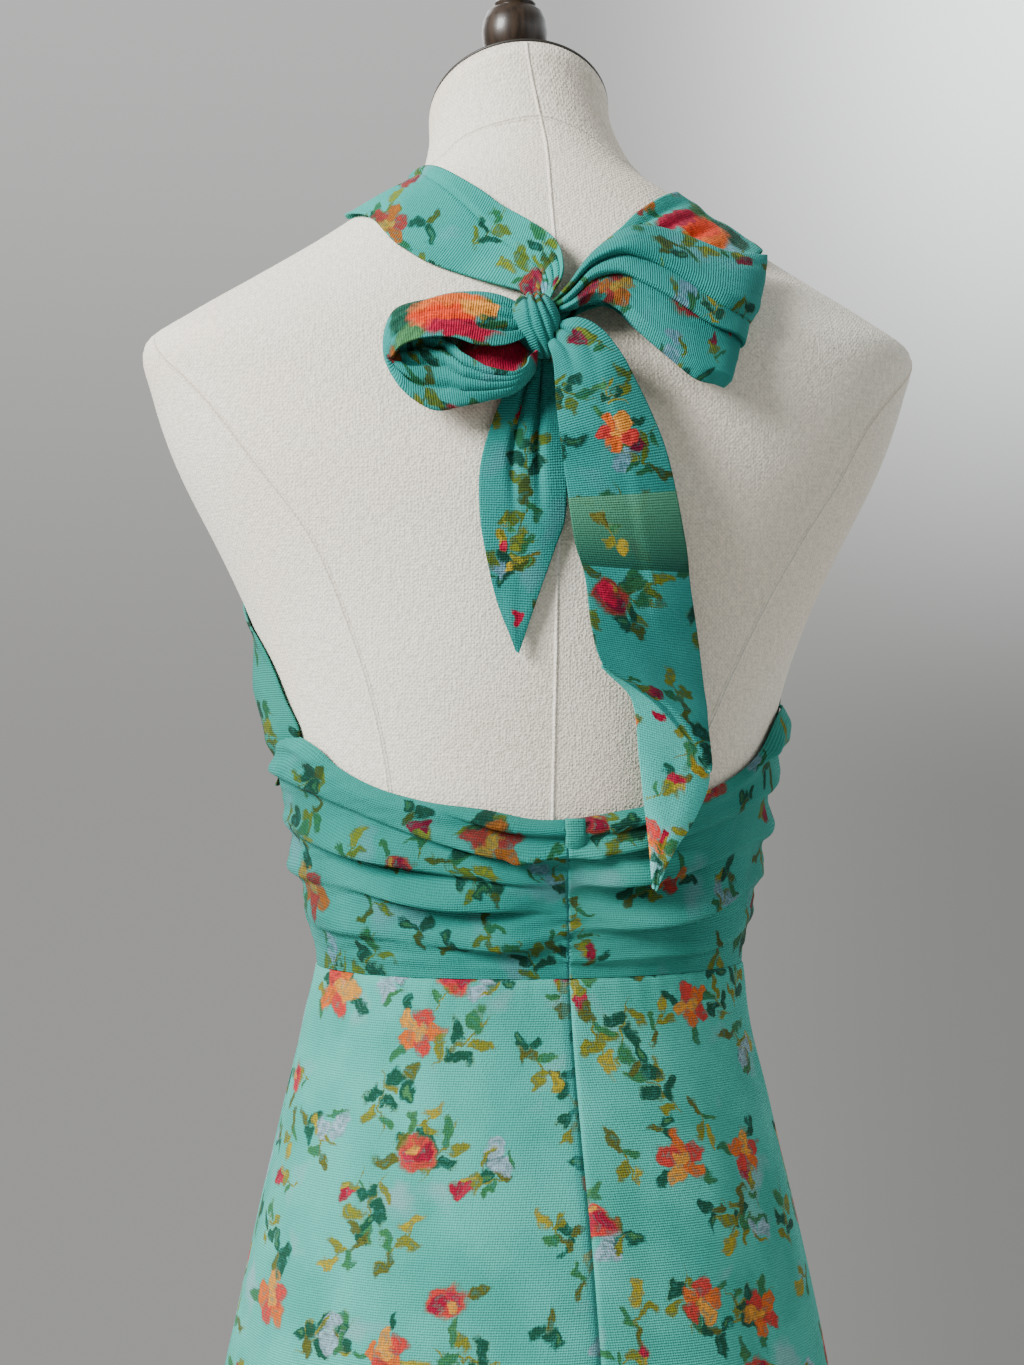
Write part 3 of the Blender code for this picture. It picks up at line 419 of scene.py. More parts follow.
NECK_SEAM = [(180.0, 1.3985), (120.0, 1.3970), (90.0, 1.3960), (58.0, 1.3966), (44.5, 1.4005), (17.0, 1.4018),
             (-4.0, 1.4023), (-26.5, 1.3982), (-44.0, 1.3921), (-90.0, 1.3930), (-120.0, 1.3960),
             (-180.0, 1.3985)]

# The print's own colours
PAINT = {
    "deep_leaf": "#17503E", "leaf": "#357549", "olive": "#7F7C26", "gold": "#A8932B", "crimson": "#A00D33",
    "rose": "#B9203F", "coral": "#CB3A35", "orange": "#DB6424", "amber": "#DE8F36", "lilac": "#94AEBD",
    "bark": "#5D5F25", "flame": "#DA3A12", "moss": "#3F7549",
}
MOTIFS = {
    "sprig": [
        Petal(0.02, 0.00, 80, 0.92, 0.035, "olive"), Petal(0.27, 0.50, 40, 0.36, 0.17, "leaf"),
        Petal(-0.30, 0.34, 132, 0.34, 0.15, "olive"), Petal(0.32, -0.02, 30, 0.34, 0.17, "deep_leaf"),
        Petal(-0.28, -0.20, 142, 0.34, 0.16, "deep_leaf"), Petal(0.18, -0.52, 30, 0.28, 0.12, "olive"),
    ],
    "twig": [
        Petal(0.00, 0.05, 62, 0.85, 0.035, "olive"), Petal(0.42, 0.55, 70, 0.36, 0.17, "gold"),
        Petal(-0.12, 0.38, 115, 0.34, 0.15, "olive"), Petal(0.16, -0.20, 5, 0.32, 0.13, "leaf"),
        Petal(-0.40, -0.46, 48, 0.38, 0.14, "bark"),
    ],
    "trefoil": [
        Petal(-0.36, 0.12, 150, 0.42, 0.27, "deep_leaf"), Petal(0.34, 0.28, 50, 0.42, 0.25, "deep_leaf"),
        Petal(0.12, -0.40, 100, 0.40, 0.22, "bark"), Petal(0.40, 0.34, 50, 0.20, 0.10, "moss"),
    ],
    "bud": [
        Petal(0.06, -0.46, 96, 0.50, 0.035, "olive"), Petal(0.30, -0.34, 30, 0.30, 0.12, "leaf"),
        Petal(0.00, 0.42, 90, 0.46, 0.35, "crimson"), Petal(0.12, 0.34, 76, 0.30, 0.17, "rose"),
        Petal(-0.02, 0.06, 0, 0.36, 0.20, "olive"), Petal(-0.20, 0.26, 112, 0.30, 0.09, "gold"),
    ],
    "blossom": [
        Petal(0.74, -0.46, -30, 0.36, 0.15, "deep_leaf"), Petal(-0.70, -0.56, 40, 0.34, 0.15, "leaf"),
        Petal(0.02, 0.42, 90, 0.34, 0.28, "orange"), Petal(0.42, 0.12, 18, 0.34, 0.27, "coral"),
        Petal(0.26, -0.34, -54, 0.33, 0.26, "amber"), Petal(-0.28, -0.32, -126, 0.33, 0.26, "orange"),
        Petal(-0.40, 0.14, 162, 0.33, 0.26, "coral"), Petal(0.00, 0.02, 0, 0.20, 0.17, "amber"),
    ],
    "rosette": [
        Petal(0.62, -0.44, -20, 0.38, 0.13, "moss"), Petal(-0.52, -0.60, 60, 0.34, 0.15, "bark"),
        Petal(0.00, 0.10, 60, 0.56, 0.46, "coral"), Petal(0.16, 0.26, 20, 0.28, 0.20, "crimson"),
        Petal(-0.16, -0.06, 120, 0.26, 0.16, "rose"), Petal(0.10, -0.12, 10, 0.16, 0.12, "amber"),
    ],
    "smudge": [
        Petal(0.05, 0.25, 20, 0.42, 0.30, "lilac"), Petal(-0.25, -0.35, 130, 0.34, 0.26, "lilac"),
        Petal(0.34, 0.05, 70, 0.42, 0.09, "leaf"), Petal(-0.48, 0.02, 100, 0.40, 0.08, "olive"),
    ],
    "strokes": [
        Petal(-0.86, 0.30, 70, 0.60, 0.34, "deep_leaf"), Petal(-0.80, -0.40, 20, 0.40, 0.30, "moss"),
        Petal(0.00, 0.28, 4, 0.74, 0.36, "orange"), Petal(-0.20, -0.10, -8, 0.62, 0.34, "flame"),
        Petal(0.52, 0.20, 24, 0.36, 0.30, "amber"), Petal(0.20, -0.46, -4, 0.74, 0.22, "crimson"),
    ],
    "wash": [
        Petal(0.00, 0.10, 2, 1.00, 0.55, "crimson"), Petal(0.20, -0.20, 8, 0.80, 0.34, "rose"),
        Petal(-0.30, 0.36, -6, 0.60, 0.20, "crimson"),
    ],
    "dash": [Petal(0.00, 0.00, 0, 1.00, 0.42, "gold")],
    "drop": [Petal(0.00, 0.00, 0, 1.00, 0.62, "crimson")],
}
STREWN = [
    Scatter("sprig", 50, 17, 0.72, 0.00),
    Scatter("trefoil", 44, 11, 0.62, 0.31),
    Scatter("twig", 47, 16, 0.70, 0.57),
    Scatter("smudge", 77, 14, 0.60, 0.83),
    Scatter("bud", 57, 12, 0.60, 1.13),
    Scatter("rosette", 76, 15, 0.65, 1.39),
    Scatter("blossom", 74, 17, 0.65, 1.71),
]

CLOTHS = {
    "skirt_back_left": Cloth("left back", 0.413, 0.207, "#E2EEE9", strip=(0, 0.0052, 0.45)),
    "skirt_back_right": Cloth("right back", 1.217, 0.951, "#E2EEE9"),
    "skirt_front": Cloth("front", 2.331, 0.145, "#E2EEE9"),
    "band_back_left": Cloth("left band", 0.713, 1.307, "#8FBDBB", strip=(0, 0.0016, 0.75)),
    # painted light: the right band has a paler tint than the left, to lift the shade on its side
    "band_back_right": Cloth("right band", 1.905, 1.713, "#AECCC8", strip=(1, 0.0008, 0.6)),
    "band_front": Cloth("front band", 2.917, 1.111, "#98C2BE"),
    # painted shade: the cups' tint is darker, for the shade that they stand in
    "cup_left": Cloth("left cup", 3.117, 0.513, "#92BCB6"),
    "cup_right": Cloth("right cup", 3.519, 1.217, "#92BCB6"),
    "strap_left": Cloth("left strap", 0.251, 2.613, "#AEE2E2"),
    "strap_right": Cloth("right strap", 0.777, 3.019, "#AEE2E2", (Spot("strokes", 0, 74, 24, 90),)),
    "knot": Cloth("knot", 4.019, 0.333, spots=(Spot("dash", 5, 12, 6, 70),)),
    "tail_right": Cloth("right end", 5.217, 2.013, spots=(
        Spot("blossom", 3, 62, 13, 20), Spot("sprig", 6, 44, 9, 160), Spot("drop", -17, 141, 5, 60),
        Spot("drop", -8, 205, 3, 40), Spot("dash", 12, 228, 7, 50), Spot("bud", 0, 268, 8, 180),
        Spot("twig", -9, 110, 13, 10)), stripe=(92, 128), over=(0.98, 207.9)),
    "tail_left": Cloth("left end", 5.617, 2.713, spots=(
        Spot("bud", -8, 40, 7, 200), Spot("trefoil", 4, 52, 9, 10), Spot("bud", -9, 95, 9, 0),
        Spot("twig", 2, 108, 9, 100), Spot("drop", 0, 135, 3.5, 80))),
    "loop_right": Cloth("right loop", 6.217, 0.613, spots=(
        Spot("bud", -14, 62, 8, 200), Spot("bud", 16, 78, 9, 10), Spot("sprig", 2, 92, 11, 70),
        Spot("drop", 21, 108, 4, 20))),
    "loop_left": Cloth("left loop", 6.913, 1.613, spots=(
        Spot("strokes", 0, 42, 25, 270), Spot("wash", 14, 140, 24, 90), Spot("wash", -6, 178, 14, 90))),
}


def hermite(a, b, leave, arrive, t):
    """A smooth step from a to b, with the slopes at its ends."""
    return ((2 * t**3 - 3 * t**2 + 1) * a + (t**3 - 2 * t**2 + t) * leave
            + (3 * t**2 - 2 * t**3) * b + (t**3 - t**2) * arrive)


def rows_at(table, key):
    """The rows of a table at values of its first column, on smooth curves."""
    rows = np.array([tuple(row) for row in table], float)
    key = np.atleast_1d(np.asarray(key, float))
    i = np.clip(np.searchsorted(rows[:, 0], key, side="right") - 1, 0, len(rows) - 2)
    a, b = rows[i], rows[i + 1]
    before, after = rows[np.maximum(i - 1, 0)], rows[np.minimum(i + 2, len(rows) - 1)]
    span = (b[:, :1] - a[:, :1])
    t = np.clip((key[:, None] - a[:, :1]) / span, 0, 1)
    leave = (b - before) / (b[:, :1] - before[:, :1]) * span
    arrive = (after - a) / (after[:, :1] - a[:, :1]) * span
    return hermite(a, b, leave, arrive, t)


def rows_along(table, share):
    """The rows a share of the way through a table, on smooth curves."""
    rows = np.array([tuple(row) for row in table], float)
    place = np.clip(share, 0, 1) * (len(rows) - 1)
    i = np.minimum(place.astype(int), len(rows) - 2)
    a, b = rows[i], rows[i + 1]
    before, after = rows[np.maximum(i - 1, 0)], rows[np.minimum(i + 2, len(rows) - 1)]
    return hermite(a, b, (b - before) / 2, (after - a) / 2, (place - i)[:, None])


def mix(a, b, share):
    return a + (b - a) * share


def smooth(share):
    share = np.clip(share, 0.0, 1.0)
    return share * share * (3 - 2 * share)


def hill(distance, width):
    return np.exp(-(distance / width) ** 2)


def ring_points(rings, turn):
    """Points on rings that are squarer than an ellipse where their power is over 2."""
    height, half_width, back, front, power, rise, drop, bow = rings.T
    across = np.sign(np.sin(turn)) * np.abs(np.sin(turn)) ** (2 / power)
    deep = np.abs(np.cos(turn)) ** (2 / power)
    behind = np.cos(turn) > 0
    return np.stack([half_width * across, np.where(behind, back, -front) * deep,
                     height + np.where(behind, rise, -drop) * deep ** bow], axis=1)


def form_points(turn, height):
    """Points on the torso's surface."""
    points = ring_points(rows_at(TORSO, height), turn)
    fade = np.clip(-points[:, 1] / (BUST_X / 2), 0, 1)
    for side in (1, -1):
        far = np.hypot(points[:, 0] - side * BUST_X, points[:, 2] - BUST_Z)
        points[:, 1] -= BUST_DEPTH * fade * hill(far, BUST_REACH)
    points[:, 0] += NECK_LEAN * smooth((height - NECK_FOOT) / (NECK_TOP - NECK_FOOT))
    return points


def skirt_points(turn, height):
    return ring_points(rows_at(SKIRT, height), turn)


def off_surface(surface, turn, height, lift, climb=0.0):
    """Points a lift out from a surface; climb is 0 for a level way out and 1 for a square one."""
    step_turn, step_height = 0.01, 0.002
    across = surface(turn + step_turn, height) - surface(turn - step_turn, height)
    up = surface(turn, height + step_height) - surface(turn, height - step_height)
    out = np.cross(up, across)
    out /= np.linalg.norm(out, axis=1)[:, None]
    out[:, 2] *= climb
    out /= np.linalg.norm(out, axis=1)[:, None]
    return surface(turn, height) + out * np.asarray(lift).reshape(-1, 1)


def back_of_form(x, z):
    """How far back the torso reaches at places behind it."""
    height = z
    for _ in range(6):
        rings = rows_at(TORSO, height)
        share = np.minimum(np.abs(x) / rings[:, 1], 1.0)
        deep = (1 - share ** rings[:, 4]) ** (1 / rings[:, 4])
        depth = rings[:, 2] * deep
        height = z - rings[:, 5] * deep ** rings[:, 7]
    return depth


def back_seam_turn(height):
    return np.radians(rows_at(BACK_SEAM, height)[:, 1])


def left_seam_turn(height):
    return np.radians(rows_at(LEFT_SEAM, height)[:, 1])


def level_turn(turn):
    return lambda height: np.full(len(np.atleast_1d(height)), turn)


def rumple(points, size, seed):
    """Smooth noise from -1 to 1 at points, with lumps of a size."""
    return np.array([noise.noise(Vector(p) / size + Vector((seed, 0, 0))) for p in points])


def ripple(u, v, seed):
    """Smooth noise from -1 to 1 over a sheet's two ways."""
    return rumple(np.stack([u, v, np.zeros(len(u))], axis=1), 1.0, seed)


def linear(code):
    """A linear colour from an sRGB hex code."""
    parts = [int(code[k:k + 2], 16) / 255 for k in (1, 3, 5)]
    return (*(p / 12.92 if p <= 0.04045 else ((p + 0.055) / 1.055) ** 2.4 for p in parts), 1.0)


def feed(node, inputs):
    """Links a node's inputs to sockets, or sets them to values."""
    for key, value in (inputs.items() if isinstance(inputs, dict) else enumerate(inputs)):
        if isinstance(value, bpy.types.NodeSocket):
            node.id_data.links.new(value, node.inputs[key])
        else:
            node.inputs[key].default_value = value


def add(tree, kind, inputs=(), **settings):
    """Adds a shader node with its settings and inputs, and gives its outputs."""
    node = tree.nodes.new("ShaderNode" + kind)
    for name, value in settings.items():
        setattr(node, name, value)
    feed(node, inputs)
    return node.outputs


def new_group(name, enters, leaves):
    """A node group with its ends; enters and leaves are {name: kind of socket}."""
    tree = bpy.data.node_groups.new(name, "ShaderNodeTree")
    for label, kind in enters.items():
        tree.interface.new_socket(label, in_out="INPUT", socket_type=kind)
    for label, kind in leaves.items():
        tree.interface.new_socket(label, in_out="OUTPUT", socket_type=kind)
    return tree, tree.nodes.new("NodeGroupInput").outputs, tree.nodes.new("NodeGroupOutput")


def motif_group(name):
    """A printed motif of soft edged brush strokes, round the origin of its place."""
    tree, enter, leave = new_group(f"print {name}", {"Place": "NodeSocketVector"},
                                   {"Colour": "NodeSocketColor", "Cover": "NodeSocketFloat"})
    colour = cover = None
    for petal in MOTIFS[name]:
        inside = add(tree, "Mapping", {
            "Vector": enter["Place"], "Location": (petal.x, petal.y, 0),
            "Rotation": (0, 0, radians(petal.turn)), "Scale": (petal.length, petal.width, 1),
        }, vector_type="TEXTURE")[0]
        far = add(tree, "VectorMath", (inside,), operation="LENGTH")["Value"]
        stroke = add(tree, "MapRange", {"Value": far, "From Min": 1.16, "From Max": 0.86})[0]
        paint = linear(PAINT[petal.colour])
        if cover is None:
            colour, cover = paint, stroke
        else:
            colour = add(tree, "Mix", {0: stroke, 6: colour, 7: paint}, data_type="RGBA")[2]
            cover = add(tree, "Math", (cover, stroke), operation="MAXIMUM")[0]
    if isinstance(colour, tuple):
        colour = add(tree, "Mix", {0: 0.0, 6: colour, 7: colour}, data_type="RGBA")[2]
    feed(leave, {"Colour": colour, "Cover": cover})
    return tree


def print_group(motifs):
    """The whole strewn print. Place is the cloth's own coordinate with the ragged edge that
    printing on a knit gives, and Colour the ground with its flowers."""
    tree, enter, leave = new_group(
        "strewn flowers", {"Cloth": "NodeSocketVector", "Shift": "NodeSocketVector"},
        {"Colour": "NodeSocketColor", "Place": "NodeSocketVector", "Brush": "NodeSocketFloat"})
    cloth = enter["Cloth"]
    place = cloth
    for scale, reach in ((130.0, 0.0080), (900.0, 0.0017)):
        wobble = add(tree, "TexNoise", {"Vector": cloth, "Scale": scale, "Detail": 1.0},
                     noise_dimensions="2D")["Color"]
        wobble = add(tree, "VectorMath", (wobble, (0.5, 0.5, 0.5)), operation="SUBTRACT")[0]
        wobble = add(tree, "VectorMath", (wobble, (reach, reach, 0.0)), operation="MULTIPLY")[0]
        place = add(tree, "VectorMath", (place, wobble), operation="ADD")[0]
    shifted = add(tree, "VectorMath", (place, enter["Shift"]), operation="ADD")[0]
    cloud = add(tree, "TexNoise", {"Vector": shifted, "Scale": 22.0, "Detail": 2.0},
                noise_dimensions="2D")[0]
    patch = add(tree, "MapRange", {"Value": cloud, "From Min": 0.35, "From Max": 0.65})[0]
    colour = add(tree, "Mix", {0: patch, 6: linear("#42AFA2"), 7: linear("#54C0B3")}, data_type="RGBA")[2]
    haze = add(tree, "TexNoise", {"Vector": shifted, "Scale": 31.0, "Detail": 1.0}, noise_dimensions="2D")[0]
    haze = add(tree, "MapRange", {"Value": haze, "From Min": 0.66, "From Max": 0.80, "To Max": 0.55})[0]
    colour = add(tree, "Mix", {0: haze, 6: colour, 7: linear("#9FB9C3")}, data_type="RGBA")[2]
    brush = add(tree, "TexNoise", {"Vector": shifted, "Scale": 420.0, "Detail": 2.0},
                noise_dimensions="2D")[0]
    brush = add(tree, "MapRange", {"Value": brush, "From Min": 0.3, "From Max": 0.7, "To Min": 0.62,
                                   "To Max": 1.30})[0]
    # thin paint lets the ground show through in places
    veil = add(tree, "MapRange", {"Value": brush, "From Min": 0.62, "From Max": 0.95, "To Min": 0.72})[0]
    for layer in STREWN:
        apart = (layer.shift, layer.shift * 1.7, 0.0)
        here = add(tree, "VectorMath", (shifted, apart), operation="ADD")[0]
        cell = add(tree, "TexVoronoi", {"Vector": here, "Scale": 1000 / layer.spacing_mm,
                                        "Randomness": 0.75}, voronoi_dimensions="2D")
        lot = add(tree, "SeparateColor", (cell["Color"],))
        local = add(tree, "VectorMath", (here, cell["Position"]), operation="SUBTRACT")[0]
        angle = add(tree, "Math", (lot[0], 2 * pi), operation="MULTIPLY")[0]
        local = add(tree, "VectorRotate", {"Vector": local, "Angle": angle}, rotation_type="Z_AXIS")[0]
        size = add(tree, "Math", (lot[2], 380 / layer.radius_mm, 810 / layer.radius_mm),
                   operation="MULTIPLY_ADD")[0]
        local = add(tree, "VectorMath", {0: local, "Scale": size}, operation="SCALE")[0]
        motif = add(tree, "Group", {"Place": local}, node_tree=motifs[layer.motif])
        there = add(tree, "Math", (lot[1], layer.chance), operation="LESS_THAN")[0]
        there = add(tree, "Math", (there, motif["Cover"]), operation="MULTIPLY")[0]
        there = add(tree, "Math", (there, veil), operation="MULTIPLY")[0]
        tone = add(tree, "VectorMath", {0: motif["Colour"], "Scale": brush}, operation="SCALE")[0]
        colour = add(tree, "Mix", {0: there, 6: colour, 7: tone}, data_type="RGBA")[2]
    feed(leave, {"Colour": colour, "Place": place, "Brush": brush})
    return tree


def new_look(name):
    """A material with an empty Principled shader, and the shader's node."""
    look = bpy.data.materials.new(name)
    look.use_nodes = True
    return look.node_tree, look.node_tree.nodes["Principled BSDF"], look


def thread_waves(tree, cloth, pitch):
    """Waves across and along a cloth, a pitch apart."""
    axes = add(tree, "SeparateXYZ", (cloth,))
    phases = [add(tree, "Math", (axes[axis], 2 * pi / pitch), operation="MULTIPLY")[0] for axis in (0, 1)]
    return [add(tree, "Math", (phase,), operation="SINE")[0] for phase in phases]


def printed_mesh(name, piece, groups):
    """Printed nylon stretch mesh, warp knitted: a soft matt cloth with a fine grid of stitches.
    The stitches are about 0.9 mm apart and are drawn 1.2 mm apart so that they show."""
    tree, shader, look = new_look(name)
    cloth = add(tree, "UVMap", uv_map="cloth")[0]
    flowers = add(tree, "Group", {"Cloth": cloth, "Shift": (piece.shift_u, piece.shift_v, 0.0)},
                  node_tree=groups["flowers"])
    colour = add(tree, "Mix", {0: 1.0, 6: flowers["Colour"], 7: linear(piece.tint)}, data_type="RGBA",
                 blend_type="MULTIPLY")[2]
    ways = add(tree, "SeparateXYZ", (cloth,))
    if piece.over:
        slope, begins = piece.over
        # past a slanting line the cloth is single, and painted paler: partly for the single layer, partly as
        # painted light where it faces the light
        beyond = add(tree, "Math", (ways["X"], -slope, ways["Y"]), operation="MULTIPLY_ADD")[0]
        single_lit = add(tree, "MapRange", {"Value": beyond, "From Min": begins / 1000 - 0.0006,
                                        "From Max": begins / 1000 + 0.0006})[0]
        paler_single_lit = add(tree, "VectorMath", {0: flowers["Colour"], 1: (1.15, 1.25, 1.27)},
                    operation="MULTIPLY")[0]
        colour = add(tree, "Mix", {0: single_lit, 6: colour, 7: paler_single_lit}, data_type="RGBA")[2]
    if piece.stripe:
        # a band of washed green, paler where it starts and with a hard edge where it ends
        top, foot = (mm / 1000 for mm in piece.stripe)
        fade = add(tree, "MapRange", {"Value": ways["Y"], "From Min": top, "From Max": foot})[0]
        green = add(tree, "Mix", {0: fade, 6: linear("#4F9070"), 7: linear("#124A3A")}, data_type="RGBA")[2]
        low = add(tree, "Math", (ways["Y"], top), operation="GREATER_THAN")[0]
        high = add(tree, "Math", (ways["Y"], foot), operation="LESS_THAN")[0]
        both = add(tree, "Math", (low, high), operation="MULTIPLY")[0]
        both = add(tree, "Math", (both, 0.93), operation="MULTIPLY")[0]
        colour = add(tree, "Mix", {0: both, 6: colour, 7: green}, data_type="RGBA")[2]
    for spot in piece.spots:
        local = add(tree, "Mapping", {
            "Vector": flowers["Place"], "Location": (spot.u / 1000, spot.v / 1000, 0),
            "Rotation": (0, 0, radians(spot.turn)), "Scale": (spot.radius / 1000, spot.radius / 1000, 1),
        }, vector_type="TEXTURE")[0]
        motif = add(tree, "Group", {"Place": local}, node_tree=groups[spot.motif])
        tone = add(tree, "VectorMath", {0: motif["Colour"], "Scale": flowers["Brush"]}, operation="SCALE")[0]
        colour = add(tree, "Mix", {0: motif["Cover"], 6: colour, 7: tone}, data_type="RGBA")[2]
    if piece.strip:
        # the seam allowance shows through as a darker strip
        side, width, depth = piece.strip
        edges = add(tree, "SeparateXYZ", (add(tree, "UVMap", uv_map="edges")[0],))
        near = add(tree, "MapRange", {"Value": edges[side], "From Min": width, "From Max": width * 0.8,
                                      "To Max": depth})[0]
        colour = add(tree, "Mix", {0: near, 6: colour, 7: linear("#2F8F8A")}, data_type="RGBA")[2]
    waves = thread_waves(tree, cloth, KNIT_PITCH)
    fluff = add(tree, "TexNoise", {"Vector": cloth, "Scale": 900.0, "Detail": 1.0}, noise_dimensions="2D")[0]
    knit = add(tree, "Math", (waves[0], 0.30, waves[1]), operation="MULTIPLY_ADD")[0]
    knit = add(tree, "Math", (fluff, 1.6, knit), operation="MULTIPLY_ADD")[0]
    # partly painted shade: the colour is darker where the knit's height falls, in the hollows between the
    # stitches; the fluff adds its own uneven tone
    dark = add(tree, "MapRange", {"Value": knit, "From Min": -0.4, "From Max": 1.9, "To Min": 0.69,
                                  "To Max": 0.99})[0]
    colour = add(tree, "VectorMath", {0: colour, "Scale": dark}, operation="SCALE")[0]
    bump = add(tree, "Bump", {"Strength": 0.5, "Distance": 0.0004, "Height": knit})[0]
    feed(shader, {"Base Color": colour, "Normal": bump, "Roughness": 0.88, "Specular IOR Level": 0.14,
                  "Sheen Weight": 0.04, "Sheen Roughness": 0.45})
    return look


def print_groups():
    """The node groups that the printed mesh's materials share."""
    groups = {name: bpy.data.node_groups.get(f"print {name}") or motif_group(name) for name in MOTIFS}
    groups["flowers"] = bpy.data.node_groups.get("strewn flowers") or print_group(groups)
    return groups


def mesh_look(node):
    """A piece's printed mesh, made when it is first asked for."""
    cloth = CLOTHS[node]
    name = f"printed nylon mesh, {cloth.title}"
    return bpy.data.materials.get(name) or printed_mesh(name, cloth, print_groups())


def linen_cover(name, groove=False, pale="#EFEAD9"):
    """Unbleached linen, plain woven: matt, with slubs both ways and a little yellowing.
    Its threads are 0.6 mm apart and are drawn 1.2 mm apart so that they show."""
    tree, shader, look = new_look(name)
    cloth = add(tree, "UVMap", uv_map="cloth")[0]
    slubs = []
    for scale in ((900.0, 200.0, 1.0), (260.0, 800.0, 1.0)):
        stretched = add(tree, "Mapping", {"Vector": cloth, "Scale": scale})[0]
        slubs.append(add(tree, "TexNoise", {"Vector": stretched, "Scale": 1.0, "Detail": 2.0},
                         noise_dimensions="2D")[0])
    slub = add(tree, "Math", slubs, operation="ADD")[0]
    weave = add(tree, "Math", thread_waves(tree, cloth, WEAVE_PITCH), operation="MULTIPLY")[0]
    height = add(tree, "Math", (slub, 6.0, weave), operation="MULTIPLY_ADD")[0]
    cloud = add(tree, "TexNoise", {"Vector": cloth, "Scale": 7.0, "Detail": 3.0}, noise_dimensions="2D")[0]
    cloud = add(tree, "MapRange", {"Value": cloud, "From Min": 0.35, "From Max": 0.68})[0]
    colour = add(tree, "Mix", {0: cloud, 6: linear(pale), 7: linear("#EBE0CE")}, data_type="RGBA")[2]
    # darker where the height falls: partly the slubs' own uneven tone, partly painted shade between the
    # threads
    dark = add(tree, "MapRange", {"Value": height, "From Min": 3.8, "From Max": 8.2, "To Min": 0.78,
                                  "To Max": 1.09})[0]
    colour = add(tree, "VectorMath", {0: colour, "Scale": dark}, operation="SCALE")[0]
    if groove:
        # painted shade: a darker line down the seam's middle, for the shade in its stitched groove
        aside = add(tree, "SeparateXYZ", (cloth,))["X"]
        middle = add(tree, "Math", (aside,), operation="ABSOLUTE")[0]
        line = add(tree, "MapRange", {"Value": middle, "From Min": 0.0002, "From Max": 0.0009,
                                      "To Min": 0.72, "To Max": 1.0})[0]
        colour = add(tree, "VectorMath", {0: colour, "Scale": line}, operation="SCALE")[0]
    bump = add(tree, "Bump", {"Strength": 0.30, "Distance": 0.0004, "Height": height})[0]
    feed(shader, {"Base Color": colour, "Normal": bump, "Roughness": 0.92, "Specular IOR Level": 0.2,
                  "Sheen Weight": 0.1})
    return look


def turned_wood(name, shade):
    """Dark stained beech, turned and varnished: close grain under a glossy coat."""
    tree, shader, look = new_look(name)
    place = add(tree, "TexCoord")["Object"]
    stretched = add(tree, "Mapping", {"Vector": place, "Scale": (420.0, 420.0, 60.0)})[0]
    grain = add(tree, "TexNoise", {"Vector": stretched, "Scale": 1.0, "Detail": 4.0})[0]
    tone = add(tree, "MapRange", {"Value": grain, "From Min": 0.3, "From Max": 0.7, "To Min": 0.6,
                                  "To Max": 1.5})[0]
    base = add(tree, "Mix", {0: grain, 6: tuple(shade), 7: linear("#2F2419")}, data_type="RGBA")[2]
    colour = add(tree, "VectorMath", {0: base, "Scale": tone}, operation="SCALE")[0]
    feed(shader, {"Base Color": colour, "Roughness": 0.38, "Specular IOR Level": 0.35, "Coat Weight": 0.22,
                  "Coat Roughness": 0.16})
    return look


def painted_steel(name):
    """Steel with satin black powder paint: faintly pebbled."""
    tree, shader, look = new_look(name)
    place = add(tree, "TexCoord")["Object"]
    pebble = add(tree, "TexNoise", {"Vector": place, "Scale": 900.0, "Detail": 2.0})[0]
    cloud = add(tree, "TexNoise", {"Vector": place, "Scale": 14.0, "Detail": 2.0})[0]
    colour = add(tree, "Mix", {0: cloud, 6: linear("#26231F"), 7: linear("#34302A")}, data_type="RGBA")[2]
    rough = add(tree, "MapRange", {"Value": cloud, "To Min": 0.38, "To Max": 0.55})[0]
    bump = add(tree, "Bump", {"Strength": 0.25, "Distance": 0.0002, "Height": pebble})[0]
    feed(shader, {"Base Color": colour, "Roughness": rough, "Normal": bump})
    return look


def studio_floor(name, shade):
    """Pale matt studio board."""
    tree, shader, look = new_look(name)
    place = add(tree, "TexCoord")["Object"]
    cloud = add(tree, "TexNoise", {"Vector": place, "Scale": 3.0, "Detail": 3.0})[0]
    tone = add(tree, "MapRange", {"Value": cloud, "To Min": 0.96, "To Max": 1.04})[0]
    colour = add(tree, "VectorMath", {0: tuple(shade)[:3], "Scale": tone}, operation="SCALE")[0]
    feed(shader, {"Base Color": colour, "Roughness": 0.9})
    return look


def unroll(grid):
    """Flat coordinates in metres for a grid of points, as if the cloth were laid out."""
    steps = np.linalg.norm(np.diff(grid, axis=1), axis=2)
    u = np.concatenate([np.zeros((len(grid), 1)), np.cumsum(steps, axis=1)], axis=1)
    u -= u[:, -1:] / 2
    climbs = np.linalg.norm(np.diff(grid, axis=0), axis=2).mean(axis=1)
    v = np.concatenate([[0.0], np.cumsum(climbs)])[:, None] * np.ones((1, grid.shape[1]))
    return u, v


